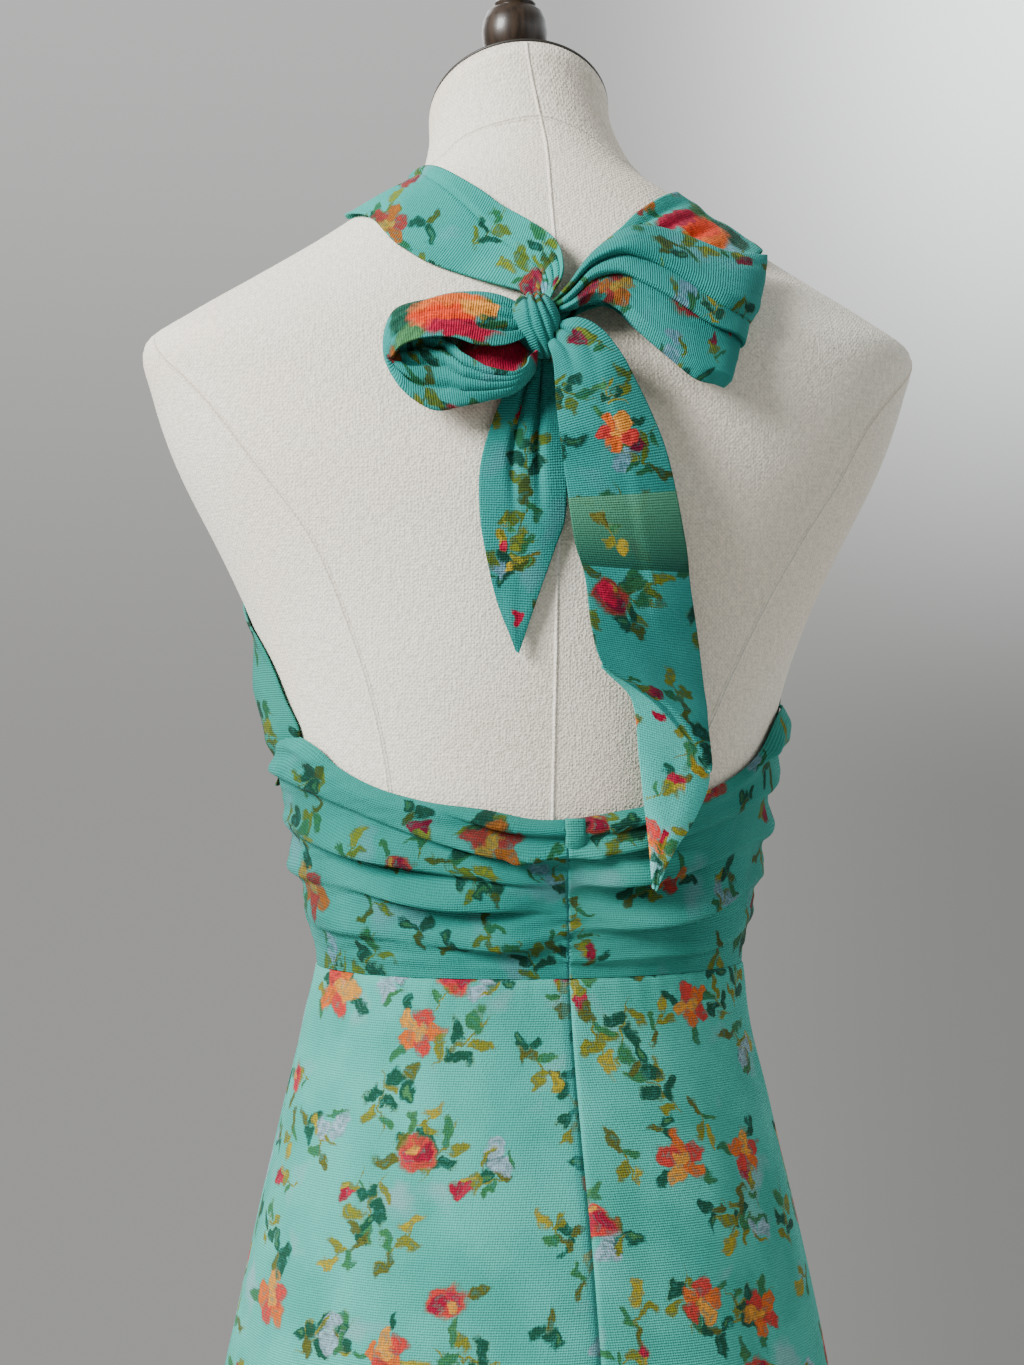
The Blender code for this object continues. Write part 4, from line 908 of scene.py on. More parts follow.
def shaped_grid(columns, rows, place):
    """A bmesh grid shaped by place(across, along), with its flat coordinates as a UV map."""
    bm = bmesh.new()
    bmesh.ops.create_grid(bm, x_segments=columns, y_segments=rows, size=0.5)
    shares = np.array([(v.co.x + 0.5, v.co.y + 0.5) for v in bm.verts])
    points = place(shares[:, 0], shares[:, 1])
    column = np.rint(shares[:, 0] * columns).astype(int)
    row = np.rint(shares[:, 1] * rows).astype(int)
    grid = np.zeros((rows + 1, columns + 1, 3))
    grid[row, column] = points
    u, v = unroll(grid)
    for vert, point in zip(bm.verts, points):
        vert.co = point
    cloth, edges = bm.loops.layers.uv.new("cloth"), bm.loops.layers.uv.new("edges")
    flat = np.stack([u[row, column], v[row, column]], axis=1)
    sides = np.stack([flat[:, 0] - u[row, 0], u[row, -1] - flat[:, 0]], axis=1)
    bm.verts.index_update()
    for face in bm.faces:
        for loop in face.loops:
            loop[cloth].uv = flat[loop.vert.index]
            loop[edges].uv = sides[loop.vert.index]
    return bm, grid


def mesh_object(name, bm, look):
    """An object in the scene, made of a bmesh."""
    mesh = bpy.data.meshes.new(name)
    bm.to_mesh(mesh)
    bm.free()
    mesh.materials.append(look)
    made = bpy.data.objects.new(name, mesh)
    bpy.context.scene.collection.objects.link(made)
    return made


def finish(name, bm, look, node=None):
    """Makes a piece of a bmesh, in place of its solid, on the one body."""
    piece = mesh_object(name, bm, look)
    piece.data.shade_smooth()
    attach(piece, "root")
    if node:
        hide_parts(node)
    return piece


def cloth_piece(node, columns, rows, place, thick, look=None):
    """A sheet of the printed mesh in place of a solid, with its thickness and its flat coordinates as a UV
    map.
    """
    bm, grid = shaped_grid(columns, rows, place)
    bmesh.ops.recalc_face_normals(bm, faces=bm.faces)
    piece = finish(f"{node}_cloth", bm, look or mesh_look(node), node)
    wall = piece.modifiers.new("cloth thickness", "SOLIDIFY")
    wall.thickness = thick
    wall.offset = 0.0


def close(bm):
    """Fills a body's open ends and turns its faces outwards."""
    bmesh.ops.holes_fill(bm, edges=[e for e in bm.edges if e.is_boundary])
    bmesh.ops.recalc_face_normals(bm, faces=bm.faces)


def wrapped_grid(columns, rows, place):
    """A grid whose sides meet, as a closed body."""
    bm, _ = shaped_grid(columns, rows, place)
    bmesh.ops.remove_doubles(bm, verts=bm.verts, dist=MERGE)
    close(bm)
    return bm


def round_body(name, columns, rows, place, look, node):
    """A closed body of rings; place gives points at turns from the centre front and shares up."""
    def around(across, along):
        return place((across * 2 - 1) * pi, along)
    finish(name, wrapped_grid(columns, rows, around), look, node)


def turned(name, profile, centre, look, node, foot=None):
    """A lathe-turned piece; foot, if given, is the slope that its underside is cut to."""
    bm = bmesh.new()
    verts = [bm.verts.new(centre + Vector((radius, 0, height))) for radius, height in profile]
    lines = [bm.edges.new(pair) for pair in zip(verts, verts[1:])]
    bmesh.ops.spin(bm, geom=verts + lines, cent=centre, axis=(0, 0, 1), angle=2 * pi,
                   steps=72, use_merge=True, dvec=(0, 0, 0))
    if foot is not None:
        lowest = min(v.co.z for v in bm.verts)
        for v in bm.verts:
            if v.co.z < lowest + 0.0001:
                v.co.z = foot(v.co.y)
    close(bm)
    finish(name, bm, look, node).data.set_sharp_from_angle(angle=SHARP)


def neck_plane(y):
    """The height of the neck's sloping top."""
    return NECK_TOP + NECK_TILT * y


def make_torso(look):
    """The linen covered body and neck."""
    heights = [TORSO_FOOT]
    for low, high in zip(TORSO, TORSO[1:]):
        length = float(np.hypot(high.height - low.height, high.half_width - low.half_width))
        count = max(round(length / 0.0045), 2)
        heights += [mix(low.height, high.height, (k + 1) / count) for k in range(count)]
    rows = len(heights) - 1

    def place(turn, along):
        return form_points(turn, np.array(heights)[np.rint(along * rows).astype(int)])
    round_body("torso_cover", 180, rows, place, look, "torso")


def make_seam(name, line, look, ridge, half=0.0021, pressed=False):
    """A sewn seam in the cover: two low ridges with the stitched groove between them, or one
    where it is pressed to a side."""
    count = 40 + 8 * len(line)

    def centre(along):
        rows = rows_along(line, along)
        return np.radians(rows[:, 0]), rows[:, 1]

    def place(across, along):
        turn, height = centre(along)
        ahead = (form_points(*centre(np.clip(along + 0.004, 0, 1)))
                 - form_points(*centre(np.clip(along - 0.004, 0, 1))))
        here = form_points(turn, height)
        out = off_surface(form_points, turn, height, 1.0, 1.0) - here
        side = np.cross(ahead, out)
        side /= np.linalg.norm(side, axis=1)[:, None]
        apart = (across * 2 - 1) * half
        ridges = hill(apart, half * 0.45) if pressed \
            else hill(apart - half * 0.42, half * 0.30) + hill(apart + half * 0.42, half * 0.30)
        lift = ridge * ridges + 0.00010 - 0.0004 * np.abs(across * 2 - 1) ** 4
        return here + side * apart[:, None] + out * lift[:, None]
    bm, _ = shaped_grid(14, count, place)
    bmesh.ops.recalc_face_normals(bm, faces=bm.faces)
    finish(name, bm, look)


def make_cover_seams(look, pressed_look, ridge):
    """The cover's seams, as its panels are sewn."""
    for name, line in (("seam_left_back", PRINCESS_LEFT), ("seam_right_back", PRINCESS_RIGHT),
                       ("seam_left_front", PRINCESS_FRONT),
                       ("seam_right_front", [(-turn, height) for turn, height in PRINCESS_FRONT]),
                       ("seam_centre_front", CENTRE_FRONT)):
        make_seam(name, line, look, ridge)
    make_seam("seam_centre_back", CENTRE_BACK, pressed_look, ridge * 2, half=0.0015, pressed=True)
    make_seam("seam_neck", NECK_SEAM, look, ridge)


def make_neck_plate(look):
    """The thin cap on the neck."""
    ring = TORSO[-1]._replace(rise=0.0, drop=0.0)

    def place(turn, along):
        points = ring_points(np.array([tuple(ring)] * len(turn)), turn)
        points[:, 2] = neck_plane(points[:, 1]) + SEAM + PLATE_THICK * along
        points[:, 0] += NECK_LEAN
        return points
    round_body("neck_cap", 96, 2, place, look, "neck_plate")


def make_stand(wood, steel):
    """The knob, the board under the torso, the pole and the round base."""
    turned("finial_knob", FINIAL, FINIAL_CENTRE, wood, "finial",
           foot=lambda y: neck_plane(y) + PLATE_THICK + 2 * SEAM)
    board_top = TORSO_FOOT - SEAM
    ring = TORSO[0]._replace(half_width=0.1460, back=0.1050, front=0.0890)

    def place(turn, along):
        points = ring_points(np.array([tuple(ring)] * len(turn)), turn)
        points[:, 2] = board_top - BOARD_THICK * (1 - along)
        return points
    round_body("foot_board", 96, 2, place, wood, "bottom_board")
    pole = [(POLE_RADIUS, BASE_TOP + SEAM), (POLE_RADIUS, board_top - BOARD_THICK - SEAM)]
    turned("stand_pole", pole, Vector(), steel, "pole")
    turned("stand_base", BASE, Vector(), steel, "base")


def flute_lift(turn, height, depth):
    """How far the skirt's flutes stand out."""
    fall = np.clip((WAIST - height) / (WAIST - HEM), 0, 1) ** 1.5
    lift = 0.0
    for flute in FLUTES:
        apart = (turn - radians(flute.turn) + pi) % (2 * pi) - pi
        lift = lift + flute.share * hill(apart, radians(flute.width))
    return depth * fall * lift


def skirt_relief(turn, height):
    """The soft smaller folds of the skirt, and its turned up hem."""
    below = WAIST - height
    flat = np.stack([np.cos(turn) * 0.12, np.sin(turn) * 0.12, height * 0.28], axis=1)
    drape = rumple(flat, 0.020, 3.0) * 0.0011 * smooth(below / 0.05)
    round_waist = np.stack([np.cos(turn) * GIRTH_RADIUS, np.sin(turn) * GIRTH_RADIUS, height * 0.1], axis=1)
    puckers = rumple(round_waist, 0.0045, 8.0) * 0.0007 * hill(below, 0.016)
    hem = 0.0005 * smooth((0.013 - (height - HEM)) / 0.0015) - 0.0004 * hill(height - HEM - 0.0132, 0.0010)
    return drape + puckers + hem


def make_skirt_panel(node, columns, start, stop, sizes):
    """A panel of the skirt; start and stop give its seams' turns at a height."""
    def place(across, along):
        height = mix(HEM, WAIST + 0.0012, along)
        first, last = start(height), stop(height)
        turn = mix(first, last, across)
        seam = hill((turn - first) * GIRTH_RADIUS, 0.0022) + hill((turn - last) * GIRTH_RADIUS, 0.0022)
        side = 0.0030 * np.clip(np.sin(turn), 0, 1) * smooth((WAIST - height) / 0.03)
        tuck_in = 0.0014 * smooth((height - WAIST + 0.0022) / 0.0030)
        lift = (0.0008 + flute_lift(turn, height, sizes.flute_depth) + skirt_relief(turn, height)
                - 0.0006 * seam + side - tuck_in)
        return off_surface(skirt_points, turn, height, lift)
    cloth_piece(node, columns, 104, place, sizes.cloth)


def make_skirt(sizes):
    """The flared lower body: two back panels and a front."""
    make_skirt_panel("skirt_back_left", 84, back_seam_turn, level_turn(pi / 2), sizes)
    make_skirt_panel("skirt_back_right", 78, level_turn(-pi / 2), back_seam_turn, sizes)
    make_skirt_panel("skirt_front", 150, level_turn(pi / 2), level_turn(3 * pi / 2), sizes)


def gather_relief(gathers, seam, turn, height):
    """How far the band's gathers stand out: each is round above and steep beneath."""
    off_seam = np.abs(turn - seam)
    spread = smooth(off_seam / (pi / 2)) * 0.55 + off_seam / (pi / 2) * 0.45
    pinch = 1 - PINCH * hill(off_seam, PINCH_TURN)
    # calmer and rounder toward the sides, and all over the front
    calm = np.where(np.abs(turn) < pi / 2 + 0.02, smooth((off_seam - radians(40)) / radians(45)), 1.0)
    under = mix(0.50, 0.95, calm)
    relief = 0.0
    for k, gather in enumerate(gathers):
        # each swells and wanders in its own way round the body
        centre = mix(gather.centre, gather.side, spread) + 0.0011 * np.sin(turn * 4.3 + k * 2.1)
        rise = gather.rise * (1 + 0.50 * np.sin(turn * (3.1 + 0.9 * k) + k * 1.7)) * mix(1, 0.62, calm)
        apart = (height - centre) / gather.width
        relief = np.maximum(relief, rise * hill(apart, np.where(apart > 0, 1.15, under)))
    return relief * pinch


def side_ease(turn, height):
    """How far the band blouses out near the wearer's sides, the left one most."""
    share = mix(0.10, 0.50, smooth(turn / 0.6 + 0.5))
    return share * SIDE_EASE * hill(np.abs(turn) - pi / 2, SIDE_EASE_TURN) \
        * hill(height - SIDE_EASE_Z, SIDE_EASE_REACH)


def band_relief(turn, height):
    """The band's gathers at a turn."""
    seam = back_seam_turn(np.minimum(height, 1.08))
    front = gather_relief(GATHERS_FRONT, pi, np.abs(turn), height)
    left = gather_relief(GATHERS_LEFT, seam, turn, height)
    right = gather_relief(GATHERS_RIGHT, seam, turn, height)
    return np.where(np.abs(turn) > pi / 2, front, np.where(turn > seam, left, right))


def make_band_panel(node, columns, rows, start, stop, top, sizes, rolled=True):
    """A panel of the gathered band, from the waist seam to its top edge, which rolls in over the
    form where nothing is sewn to it."""
    def place(across, along):
        whole = np.full(len(across), WAIST)
        edge = top(mix(start(whole), stop(whole), across))
        height = mix(WAIST - 0.0006, edge, along)
        turn = mix(start(height), stop(height), across)
        around = (turn + pi) % (2 * pi) - pi
        rest = smooth((edge - height + 0.0010) / 0.0075) if rolled else np.ones(len(edge))
        relief = band_relief(around, height) * rest
        fine = ripple(turn * GIRTH_RADIUS / 0.026, height / 0.0036, 5.0)
        wide = ripple(turn * GIRTH_RADIUS / 0.045, height / 0.0075, 9.0)
        inside = smooth((height - WAIST) / 0.006) * smooth((edge - height) / 0.004)
        # a short tuck lies across the centre back under the keeper
        over = height - TUCK_HEIGHT
        tuck = smooth((around + radians(13)) / radians(3)) * smooth((radians(11) - around) / radians(3)) \
            * hill(over - 0.0012 * np.cos(around * 9), np.where(over > 0, 0.0024, 0.0011))
        pucker = hill((around - back_seam_turn(height)) * 0.115, 0.006) * np.sin(height / 0.0011) * 0.0004
        roll = 0.0022 * hill(edge - height - 0.0040, 0.0036) if rolled else 0.0
        lift = (mix(0.0012, BAND_EASE + 0.0008, rest) + side_ease(around, height) * rest
                + relief * sizes.gathers + roll
                + (0.0005 * fine + 0.0009 * wide + 0.0030 * tuck + pucker) * inside)
        return off_surface(form_points, turn, height - (relief + 0.0020 * tuck) * inside, lift)
    cloth_piece(node, columns, rows, place, sizes.cloth)


def make_band(sizes):
    """The gathered midriff band: two back panels and a front."""
    def back_top(turn):
        return rows_at(BAND_BACK_TOP, np.degrees(turn))[:, 1]

    def front_top(turn):
        return np.full(len(turn), BAND_FRONT_TOP)
    make_band_panel("band_back_left", 112, 150, back_seam_turn, left_seam_turn, back_top, sizes)
    make_band_panel("band_back_right", 112, 150, level_turn(-pi / 2), back_seam_turn, back_top, sizes)
    make_band_panel("band_front", 170, 96, level_turn(pi / 2), level_turn(3 * pi / 2), front_top, sizes,
                    rolled=False)


def make_centre_tab():
    """The small rolled keeper over the band's top edge."""
    width, low, high, aside = 0.0080, 1.0572, 1.0725, radians(-1.6)
    radius = 0.117

    def place(across, along):
        height = mix(low, high, along)
        around = (across - 0.5) * 2
        turn = back_seam_turn(height) + aside + np.sin(around * pi * 0.55) * width / 2 / radius
        lift = BAND_EASE + 0.0026 + 0.0030 * np.sqrt(np.clip(np.cos(around * pi * 0.5), 0, 1)) \
            * np.clip(np.sin(pi * mix(0.06, 0.94, along)), 0, 1) ** 0.35
        lift += 0.0004 * rumple(np.stack([around, along * 4, along * 0], axis=1), 0.9, 2.0)
        return off_surface(form_points, turn, height, lift)
    cloth_piece("centre_tab", 24, 40, place, TAB_THICK,
                mesh_look("band_back_right"))


def even_turn(table, column, along, height):
    """Turns over the front that carry an edge evenly away from the middle as it rises."""
    rows = np.array([tuple(row) for row in table], float)
    wide = form_points(np.radians(rows[:, column]), rows[:, column + 1])[:, :1]
    rings = rows_at(TORSO, height)
    share = np.clip(rows_along(wide, along)[:, 0] / rings[:, 1], 0, 1)
    return pi - np.arcsin(share ** (rings[:, 4] / 2))


def laid(table, relief, side=1, span=None, front=False):
    """Gives the place of a strip on the form; side is -1 for its mirror image, and span gives the
    turns that keep it between its seams. A front has even edges, and its foot stands level."""
    def place(across, along):
        rows = rows_along(table, along)
        outer, inner = np.radians(rows[:, 0]), np.radians(rows[:, 2])
        if front:
            outer = mix(outer, even_turn(table, 0, along, rows[:, 1]), smooth((rows[:, 1] - 1.20) / 0.03))
            inner = even_turn(table, 2, along, rows[:, 3])
        turn = mix(outer, inner, across)
        height = mix(rows[:, 1], rows[:, 3], across)
        lift = mix(rows[:, 4], rows[:, 5], across) + 0.0008 + relief(across, along)
        if span:
            turn = np.clip(turn, *span(height))
        climb = smooth(6 * along) if front else 1.0
        return off_surface(form_points, side * turn, height, lift, climb)
    return place


def lapped(across, lines, width, lap):
    """Where a strip's points lie across it once it laps over itself at lines."""
    share = across
    for line in lines:
        apart = (across - line) / width
        share = share - lap * apart * np.exp(-apart ** 2)
    return share


def hung(table, relief, fold=None, facing=1):
    """Gives the place of a ribbon behind the back; facing is -1 where its table runs from the
    right, relief stands out from it, and fold gives where its points lie across it."""
    def middle(across, along):
        rows = rows_along(table, along)
        left = np.stack([rows[:, 0], back_of_form(rows[:, 0], rows[:, 1]) + rows[:, 2], rows[:, 1]], axis=1)
        right = np.stack([rows[:, 3], back_of_form(rows[:, 3], rows[:, 4]) + rows[:, 5], rows[:, 4]], axis=1)
        return mix(left, right, across[:, None]), rows[:, 6]

    def place(across, along):
        share = fold(across, along) if fold else across
        point, crown = middle(share, along)
        over = middle(across * 0 + 1, along)[0] - middle(across * 0, along)[0]
        on = middle(across, along + 0.01)[0] - middle(across, along - 0.01)[0]
        out = np.cross(on, over)
        out *= facing / np.linalg.norm(out, axis=1)[:, None]
        lift = crown * 4 * share * (1 - share) + relief(across, along)
        return point + out * lift[:, None]
    return place


def pleats(across, places, width):
    """Rounded ridges with sharp valleys at places across a strip."""
    lift = across * 0
    for place in places:
        lift = lift - hill(across - place, width)
    return lift


def make_cups():
    """The two halter fronts, between the side seams and the centre front."""
    def relief(across, along):
        gathers = np.cos(across * 2 * pi * 11 + np.sin(across * 9)) * 0.0007 * hill(along, 0.11)
        soft = ripple(across * 4, along * 3, 4.0) * 0.0007
        hem = 0.0006 * (hill(across - 0.025, 0.02) + hill(across - 0.975, 0.02))
        return gathers + soft * smooth(along / 0.1) + hem

    def left_relief(across, along):
        blouse = 0.0095 * hill(across - 0.17, 0.12) * smooth((along - 0.03) / 0.08) \
            * smooth((0.33 - along) / 0.12)
        return relief(across, along) + blouse

    def left_span(height):
        return np.where(height < 1.1, left_seam_turn(height) + 0.003, 0.0), pi - 0.0002

    def right_span(height):
        return pi / 2 + 0.003, pi - 0.0002
    left = laid(CUP_LEFT, left_relief, span=left_span, front=True)
    right = laid(CUP_RIGHT, relief, side=-1, span=right_span, front=True)
    cloth_piece("cup_left", 76, 164, left, CUP_THICK)
    cloth_piece("cup_right", 76, 164, right, CUP_THICK)


def make_straps():
    """The halter ends that cross the shoulders to the knot."""
    def left_relief(across, along):
        # the strap is folded once along its length, and its upper part laps over the lower
        line = mix(0.92, 0.45, smooth((along - 0.10) / 0.75))
        lap = 0.0016 * smooth((across - line) / 0.02) - 0.0010 * hill(across - line + 0.01, 0.018)
        near = smooth((along - 0.62) / 0.3)
        gathers = pleats(across, (0.16, 0.34, 0.52, 0.70, 0.86), 0.035) * 0.0012 * near
        soft = ripple(across * 2, along * 5, 6.0) * 0.0006
        rolled = 0.0005 * hill(across, 0.05) + 0.0004 * hill(1 - across, 0.05)
        return lap + gathers + soft + rolled

    def right_relief(across, along):
        crumple = ripple(across * 5.5 + along * 3, along * 4, 12.0)
        folds = pleats(across, (0.22, 0.45, 0.66, 0.84), 0.05) * 0.0014 * smooth((along - 0.1) / 0.25)
        return folds + 0.0013 * crumple * smooth(along / 0.08) + 0.0004
    cloth_piece("strap_left", 48, 150, laid(STRAP_LEFT, left_relief), STRAP_THICK)
    cloth_piece("strap_right", 48, 140, laid(STRAP_RIGHT, right_relief), STRAP_THICK)


def make_knot():
    """The knot: the strap's cloth wrapped once round, with its pleats running down it."""
    turn = Euler((0, KNOT_LEAN, 0)).to_matrix()

    def place(across, along):
        # across runs round the knot, and along from its foot to its top
        rise = mix(-0.5, 0.5, along) * pi * 0.97
        around = across * 2 * pi
        x, y, z = np.cos(rise) * np.sin(around), np.cos(rise) * np.cos(around), np.sin(rise)
        x = x * (1 + 0.22 * z)
        local = np.stack([x * KNOT_RADII[0], y * KNOT_RADII[1], z * KNOT_RADII[2]], axis=1)
        dip = 0.0
        for groove in KNOT_GROOVES:
            dip = dip + hill(local[:, 0] - groove * (1 - 0.35 * np.abs(z)) + 0.0016 * z * z, 0.00085)
        local *= (1 - dip * 0.0014 / KNOT_RADII[1])[:, None]
        local *= (1 + 0.02 * rumple(local, 0.006, 1.0))[:, None]
        return np.array([KNOT_CENTRE + turn @ Vector(p) for p in local])
    piece = finish("knot_cloth", wrapped_grid(110, 70, place), mesh_look("knot"), "knot")


def make_tails():
    """The bow's two hanging ends. The right one turns over near its foot."""
    def right_relief(across, along):
        near = 1 - smooth((along - 0.05) / 0.22)
        folds = pleats(across, (0.30, 0.62), 0.07) * 0.0016 * near
        crease = 0.0010 * smooth((across - 0.52) / 0.12) * smooth((along - 0.16) / 0.1) \
            * smooth((0.62 - along) / 0.1)
        # the upper layer ends on a slant, over the one that makes the point
        slant = 0.0030 * smooth((mix(0.667, 0.795, across) - along) / 0.004)
        soft = ripple(across * 2, along * 6, 15.0) * 0.0012
        return folds + crease + slant + soft * smooth(along / 0.15)

    def left_relief(across, along):
        folds = pleats(across - 0.2 * along, (0.30, 0.60), 0.060) * 0.0042 \
            * (1 - smooth((along - 0.22) / 0.36))
        soft = ripple(across * 2, along * 5, 21.0) * 0.0011
        return folds + soft * smooth(along / 0.15) + 0.0006
    cloth_piece("tail_right", 64, 300, hung(TAIL_RIGHT, right_relief), TAIL_THICK)
    cloth_piece("tail_left", 48, 140, hung(TAIL_LEFT, left_relief), TAIL_THICK)


def make_loops():
    """The bow's two loops, each a ribbon that runs out and returns beneath."""
    def right_lines(along):
        out = np.clip(along / 0.5, 0, 1)
        return (mix(mix(0.23, 0.35, smooth(out * 2)), 0.52, smooth(out * 2 - 1)),
                0.67 - 0.09 * np.sin(pi * out))

    def right_relief(across, along):
        # three rolls of cloth, each with its lower edge over the next
        one, two = right_lines(along)
        low = np.where(across < one, 0, np.where(across < two, one, two))
        high = np.where(across < one, one, np.where(across < two, two, 1.0))
        share = (across - low) / (high - low)
        fade = smooth(along / 0.08) * smooth((0.52 - along) / 0.05)
        rolls = np.where(across < one, 0.0060, 0.0046) * fade \
            * np.minimum(share / 0.86, (1 - share) / 0.14) ** 0.8
        soft = ripple(across * 3, along * 9, 25.0) * 0.0010
        fine = ripple(across * 14, along * 7, 4.0) * 0.0006
        return rolls + (soft + fine) * smooth(along / 0.1) * smooth((1 - along) / 0.1)

    def right_fold(across, along):
        fade = smooth(along / 0.08) * smooth((0.56 - along) / 0.06)
        return lapped(across, right_lines(along), 0.040, 0.13 * fade)

    def left_curl(along):
        return smooth((along - 0.40) / 0.12) * smooth((0.99 - along) / 0.06)

    def left_fold(across, along):
        # past its turn the loop's near edge curls up over the rest, less and less toward the knot
        top = np.interp(along, (0.46, 0.54, 0.615, 0.67, 0.71, 0.77, 0.846, 0.93),
                        (0.90, 1.10, 1.10, 0.90, 0.56, 0.34, 0.18, 0.08))
        curled = np.where(across < 0.45, top * (1 - across / 0.45), (across - 0.45) / 0.55)
        return mix(across, curled, left_curl(along))

    def left_relief(across, along):
        folds = pleats(across, (0.30, 0.56, 0.80), 0.05) * 0.0018 * (smooth((0.30 - along) / 0.2) + 0.35)
        soft = ripple(across * 3, along * 7, 31.0) * 0.0011
        curl = left_curl(along)
        front = -0.0080 * curl * np.sqrt(np.clip(1 - across / 0.45, 0, 1))
        creases = -pleats(across, (0.10, 0.21, 0.33), 0.022) * 0.0034 * curl * smooth((0.92 - along) / 0.2)
        return (folds * (1 - curl) + soft) * smooth(along / 0.1) * smooth((1 - along) / 0.1) + front + creases
    right = hung(LOOP_RIGHT_OUT + LOOP_RIGHT_BACK, right_relief, right_fold, facing=-1)
    left = hung(LOOP_LEFT_OUT, left_relief, left_fold, facing=-1)
    cloth_piece("loop_right", 140, 230, right, LOOP_THICK)
    cloth_piece("loop_left", 110, 230, left, LOOP_THICK)


def placed(name, data, place, way):
    """Puts a lamp or a camera at a place, looking a way."""
    holder = bpy.data.objects.new(name, data)
    holder.location = place
    holder.rotation_euler = way.to_track_quat("-Z", "Y").to_euler()
    bpy.context.scene.collection.objects.link(holder)
    return holder


def make_floor(shade):
    """A round sheet of pale board under the stand."""
    bm = bmesh.new()
    bmesh.ops.create_circle(bm, cap_ends=True, segments=96, radius=FLOOR_RADIUS)
    floor = mesh_object("studio_floor", bm, studio_floor("pale studio board", shade))


def make_lights(window):
    """A soft window light beside the form, and two weak lights that fill its shadows."""
    for name, place, aim, size, power in (
            ("window", (2.15, 1.25, 2.45), (0.0, 0.05, 1.12), 1.1, window),
            ("bounce", (-2.2, 1.4, 1.6), (0.0, 0.0, 1.1), 1.8, 8.0),
            ("rear", (0.6, -2.2, 2.4), (0.0, 0.0, 1.1), 1.8, 30.0)):
        lamp = bpy.data.lights.new(name, "AREA")
        lamp.size = size
        lamp.energy = power
        placed(name, lamp, place, Vector(aim) - Vector(place))


def make_wall():
    """A pale wall all round, lighter above and lightest at the picture's upper right."""
    world = bpy.data.worlds.new("studio")
    bpy.context.scene.world = world
    world.use_nodes = True
    tree = world.node_tree
    way = add(tree, "SeparateXYZ", (add(tree, "TexCoord")["Generated"],))
    rise = add(tree, "MapRange", {"Value": way[2], "From Min": -0.06, "From Max": 0.32},
               interpolation_type="SMOOTHSTEP")[0]
    side = add(tree, "MapRange", {"Value": way[0], "From Min": -0.13, "From Max": -0.34},
               interpolation_type="SMOOTHSTEP")[0]
    lower = add(tree, "Mix", {0: side, 6: linear("#A3A29F"), 7: linear("#8D8E8B")}, data_type="RGBA")[2]
    upper = add(tree, "Mix", {0: side, 6: linear("#C3C3C2"), 7: linear("#E2E5E7")}, data_type="RGBA")[2]
    wall = add(tree, "Mix", {0: rise, 6: lower, 7: upper}, data_type="RGBA")[2]
    high = add(tree, "MapRange", {"Value": way[2], "From Min": 0.60, "From Max": 0.32})[0]
    glow = add(tree, "Math", (rise, high), operation="MULTIPLY")[0]
    patch = add(tree, "Math", (side, 2.0, 0.16), operation="MULTIPLY_ADD")[0]
    strength = add(tree, "Math", (glow, patch, 0.98), operation="MULTIPLY_ADD")[0]
    # the wall behind the camera is dimmer
    room = add(tree, "MapRange", {"Value": way[1], "From Min": -0.35, "From Max": 0.45, "To Min": 1.0,
                                  "To Max": 0.45})[0]
    strength = add(tree, "Math", (strength, room), operation="MULTIPLY")[0]
    feed(tree.nodes["Background"], {"Color": wall, "Strength": strength})


def make_camera():
    """The camera, at the photo's viewing angle."""
    camera = bpy.data.cameras.new("camera")
    camera.lens = LENS_MM
    camera.sensor_width = SENSOR_MM
    back = Vector(VIEW_BACK)
    place = Vector(VIEW_RIGHT) * EYE_ASIDE + Vector((0, 0, EYE_HEIGHT)) + back * EYE_DISTANCE
    bpy.context.scene.camera = placed("camera", camera, place, -back)


class FormSettings(bpy.types.PropertyGroup):
    """The dress form's finish."""
    seam_ridge: FloatProperty(name="Seam ridge", description="How far the cover's seams stand up",
                              default=0.00028, min=0.0, max=0.001, unit="LENGTH", precision=5)
    wood: FloatVectorProperty(name="Wood", description="Colour of the turned wood", subtype="COLOR", size=4,
                              min=0.0, max=1.0, default=linear("#261C15"))


class TopSettings(bpy.types.PropertyGroup):
    """The halter top's sizes."""
    cloth: FloatProperty(name="Cloth", description="Thickness of the printed mesh", default=0.0009,
                         min=0.0004, max=0.002, unit="LENGTH", precision=5)
    flute_depth: FloatProperty(name="Flute depth", description="How far the flutes stand out at the hem",
                               default=0.0075, min=0.0, max=0.012, unit="LENGTH")
    gathers: FloatProperty(name="Gathers", description="Depth of the gathers, as a share of the solids'",
                           default=1.5, min=0.0, max=2.0, subtype="FACTOR")


class StageSettings(bpy.types.PropertyGroup):
    """The studio's floor and light."""
    floor: FloatVectorProperty(name="Floor", description="Colour of the floor", subtype="COLOR", size=4,
                               min=0.0, max=1.0, default=linear("#CFCDC9"))
    window: FloatProperty(name="Window light", description="Power of the soft light beside the form",
                          default=205.0, min=0.0, max=1000.0, unit="POWER")


class OBJECT_OT_halter_form(bpy.types.Operator):
    """Build the linen covered form with its seams and the cap on its neck"""
    bl_idname = "object.halter_form"
    bl_label = "Dress form"

    def execute(self, context):
        make_torso(linen_cover("unbleached linen, plain weave"))
        make_cover_seams(linen_cover("unbleached linen, stitched seam with painted groove shade", groove=True),
                         linen_cover("unbleached linen, pressed seam", pale="#FBF8F0"),
                         context.scene.halter_form.seam_ridge)
        make_neck_plate(painted_steel("steel, satin black powder paint, cap"))
        return {"FINISHED"}


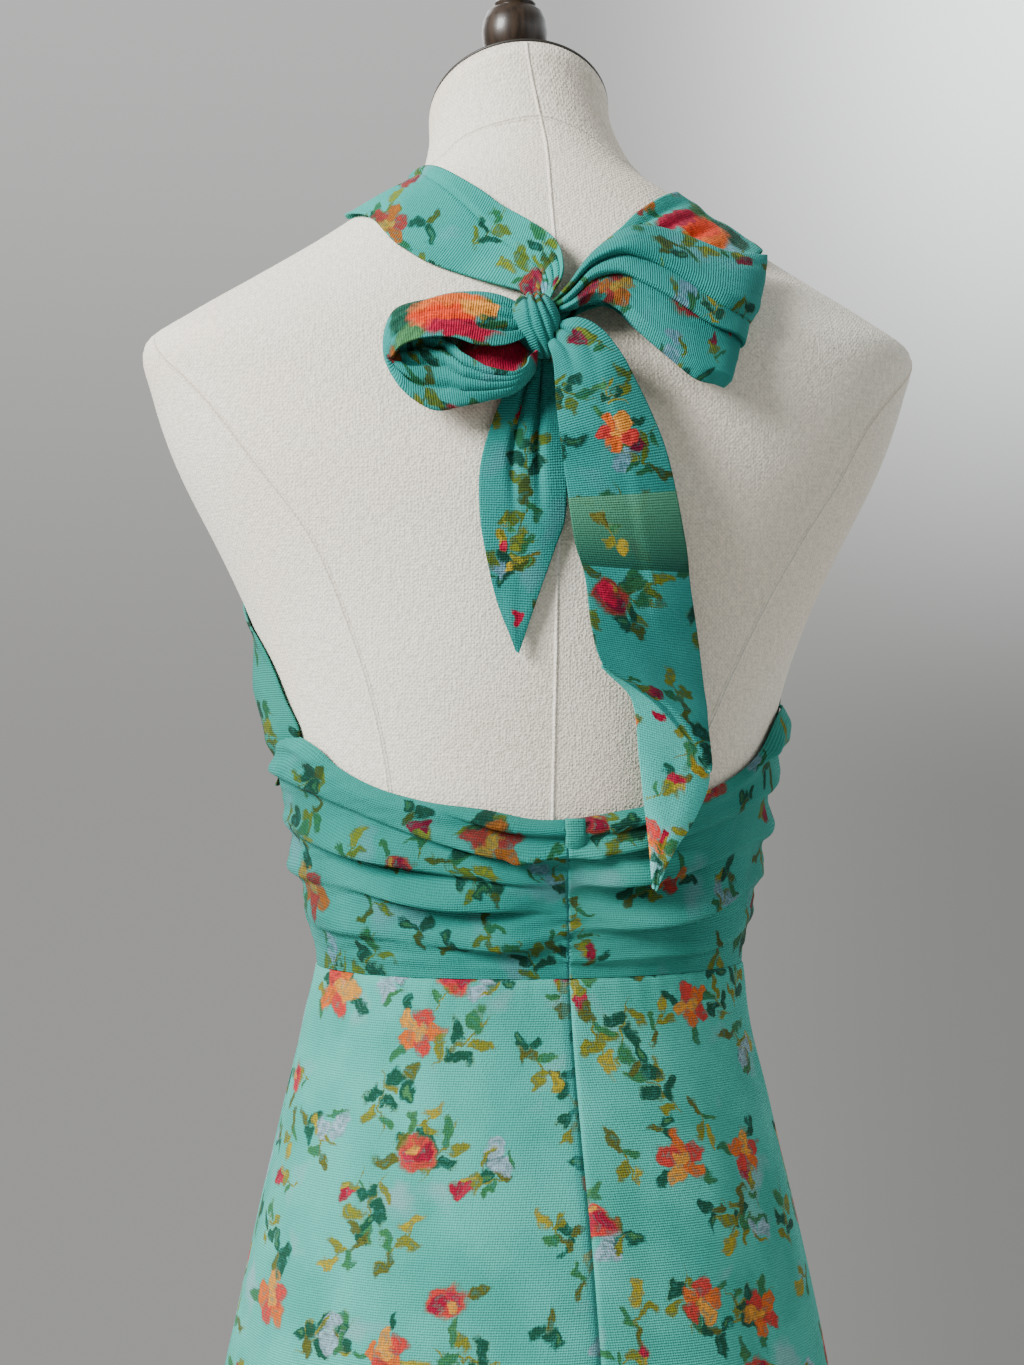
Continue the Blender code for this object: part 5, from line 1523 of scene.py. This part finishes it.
class OBJECT_OT_halter_stand(bpy.types.Operator):
    """Build the turned knob, the board under the form, the pole and the base"""
    bl_idname = "object.halter_stand"
    bl_label = "Stand"

    def execute(self, context):
        make_stand(turned_wood("dark stained beech, varnished", context.scene.halter_form.wood),
                   painted_steel("steel, satin black powder paint, stand"))
        return {"FINISHED"}


class OBJECT_OT_halter_skirt(bpy.types.Operator):
    """Build the flared lower body of the top"""
    bl_idname = "object.halter_skirt"
    bl_label = "Skirt"

    def execute(self, context):
        make_skirt(context.scene.halter_top)
        return {"FINISHED"}


class OBJECT_OT_halter_band(bpy.types.Operator):
    """Build the gathered midriff band and the keeper at its centre back"""
    bl_idname = "object.halter_band"
    bl_label = "Band"

    def execute(self, context):
        make_band(context.scene.halter_top)
        make_centre_tab()
        return {"FINISHED"}


class OBJECT_OT_halter_cups(bpy.types.Operator):
    """Build the two halter fronts"""
    bl_idname = "object.halter_cups"
    bl_label = "Halter fronts"

    def execute(self, context):
        make_cups()
        return {"FINISHED"}


class OBJECT_OT_halter_straps(bpy.types.Operator):
    """Build the halter's ends, from the shoulders to the nape"""
    bl_idname = "object.halter_straps"
    bl_label = "Straps"

    def execute(self, context):
        make_straps()
        return {"FINISHED"}


class OBJECT_OT_halter_bow(bpy.types.Operator):
    """Build the bow at the nape: its knot, its loops and its ends"""
    bl_idname = "object.halter_bow"
    bl_label = "Bow"

    def execute(self, context):
        make_knot()
        make_tails()
        make_loops()
        return {"FINISHED"}


class OBJECT_OT_halter_stage(bpy.types.Operator):
    """Build the pale floor, the soft lights and the camera"""
    bl_idname = "object.halter_stage"
    bl_label = "Stage"

    def execute(self, context):
        make_floor(context.scene.halter_stage.floor)
        make_lights(context.scene.halter_stage.window)
        make_wall()
        make_camera()
        return {"FINISHED"}


class VIEW3D_PT_halter_top(bpy.types.Panel):
    """The halter top's pieces and settings"""
    bl_label = "Halter top"
    bl_space_type = "VIEW_3D"
    bl_region_type = "UI"
    bl_category = "Halter top"

    def draw(self, context):
        for operator in OPERATORS:
            self.layout.operator(operator.bl_idname)
        for settings in (context.scene.halter_form, context.scene.halter_top, context.scene.halter_stage):
            for name in settings.__annotations__:
                self.layout.prop(settings, name)


OPERATORS = (OBJECT_OT_halter_form, OBJECT_OT_halter_stand, OBJECT_OT_halter_skirt, OBJECT_OT_halter_band,
             OBJECT_OT_halter_cups, OBJECT_OT_halter_straps, OBJECT_OT_halter_bow, OBJECT_OT_halter_stage)
CLASSES = (FormSettings, TopSettings, StageSettings, *OPERATORS, VIEW3D_PT_halter_top)


def register():
    for cls in CLASSES:
        bpy.utils.register_class(cls)
    bpy.types.Scene.halter_form = PointerProperty(type=FormSettings)
    bpy.types.Scene.halter_top = PointerProperty(type=TopSettings)
    bpy.types.Scene.halter_stage = PointerProperty(type=StageSettings)


def unregister():
    del bpy.types.Scene.halter_form, bpy.types.Scene.halter_top, bpy.types.Scene.halter_stage
    for cls in reversed(CLASSES):
        bpy.utils.unregister_class(cls)


def main():
    register()
    bpy.ops.object.halter_form()
    bpy.ops.object.halter_stand()
    bpy.ops.object.halter_skirt()
    bpy.ops.object.halter_band()
    bpy.ops.object.halter_cups()
    bpy.ops.object.halter_straps()
    bpy.ops.object.halter_bow()
    bpy.ops.object.halter_stage()


if __name__ == "__main__":
    main()
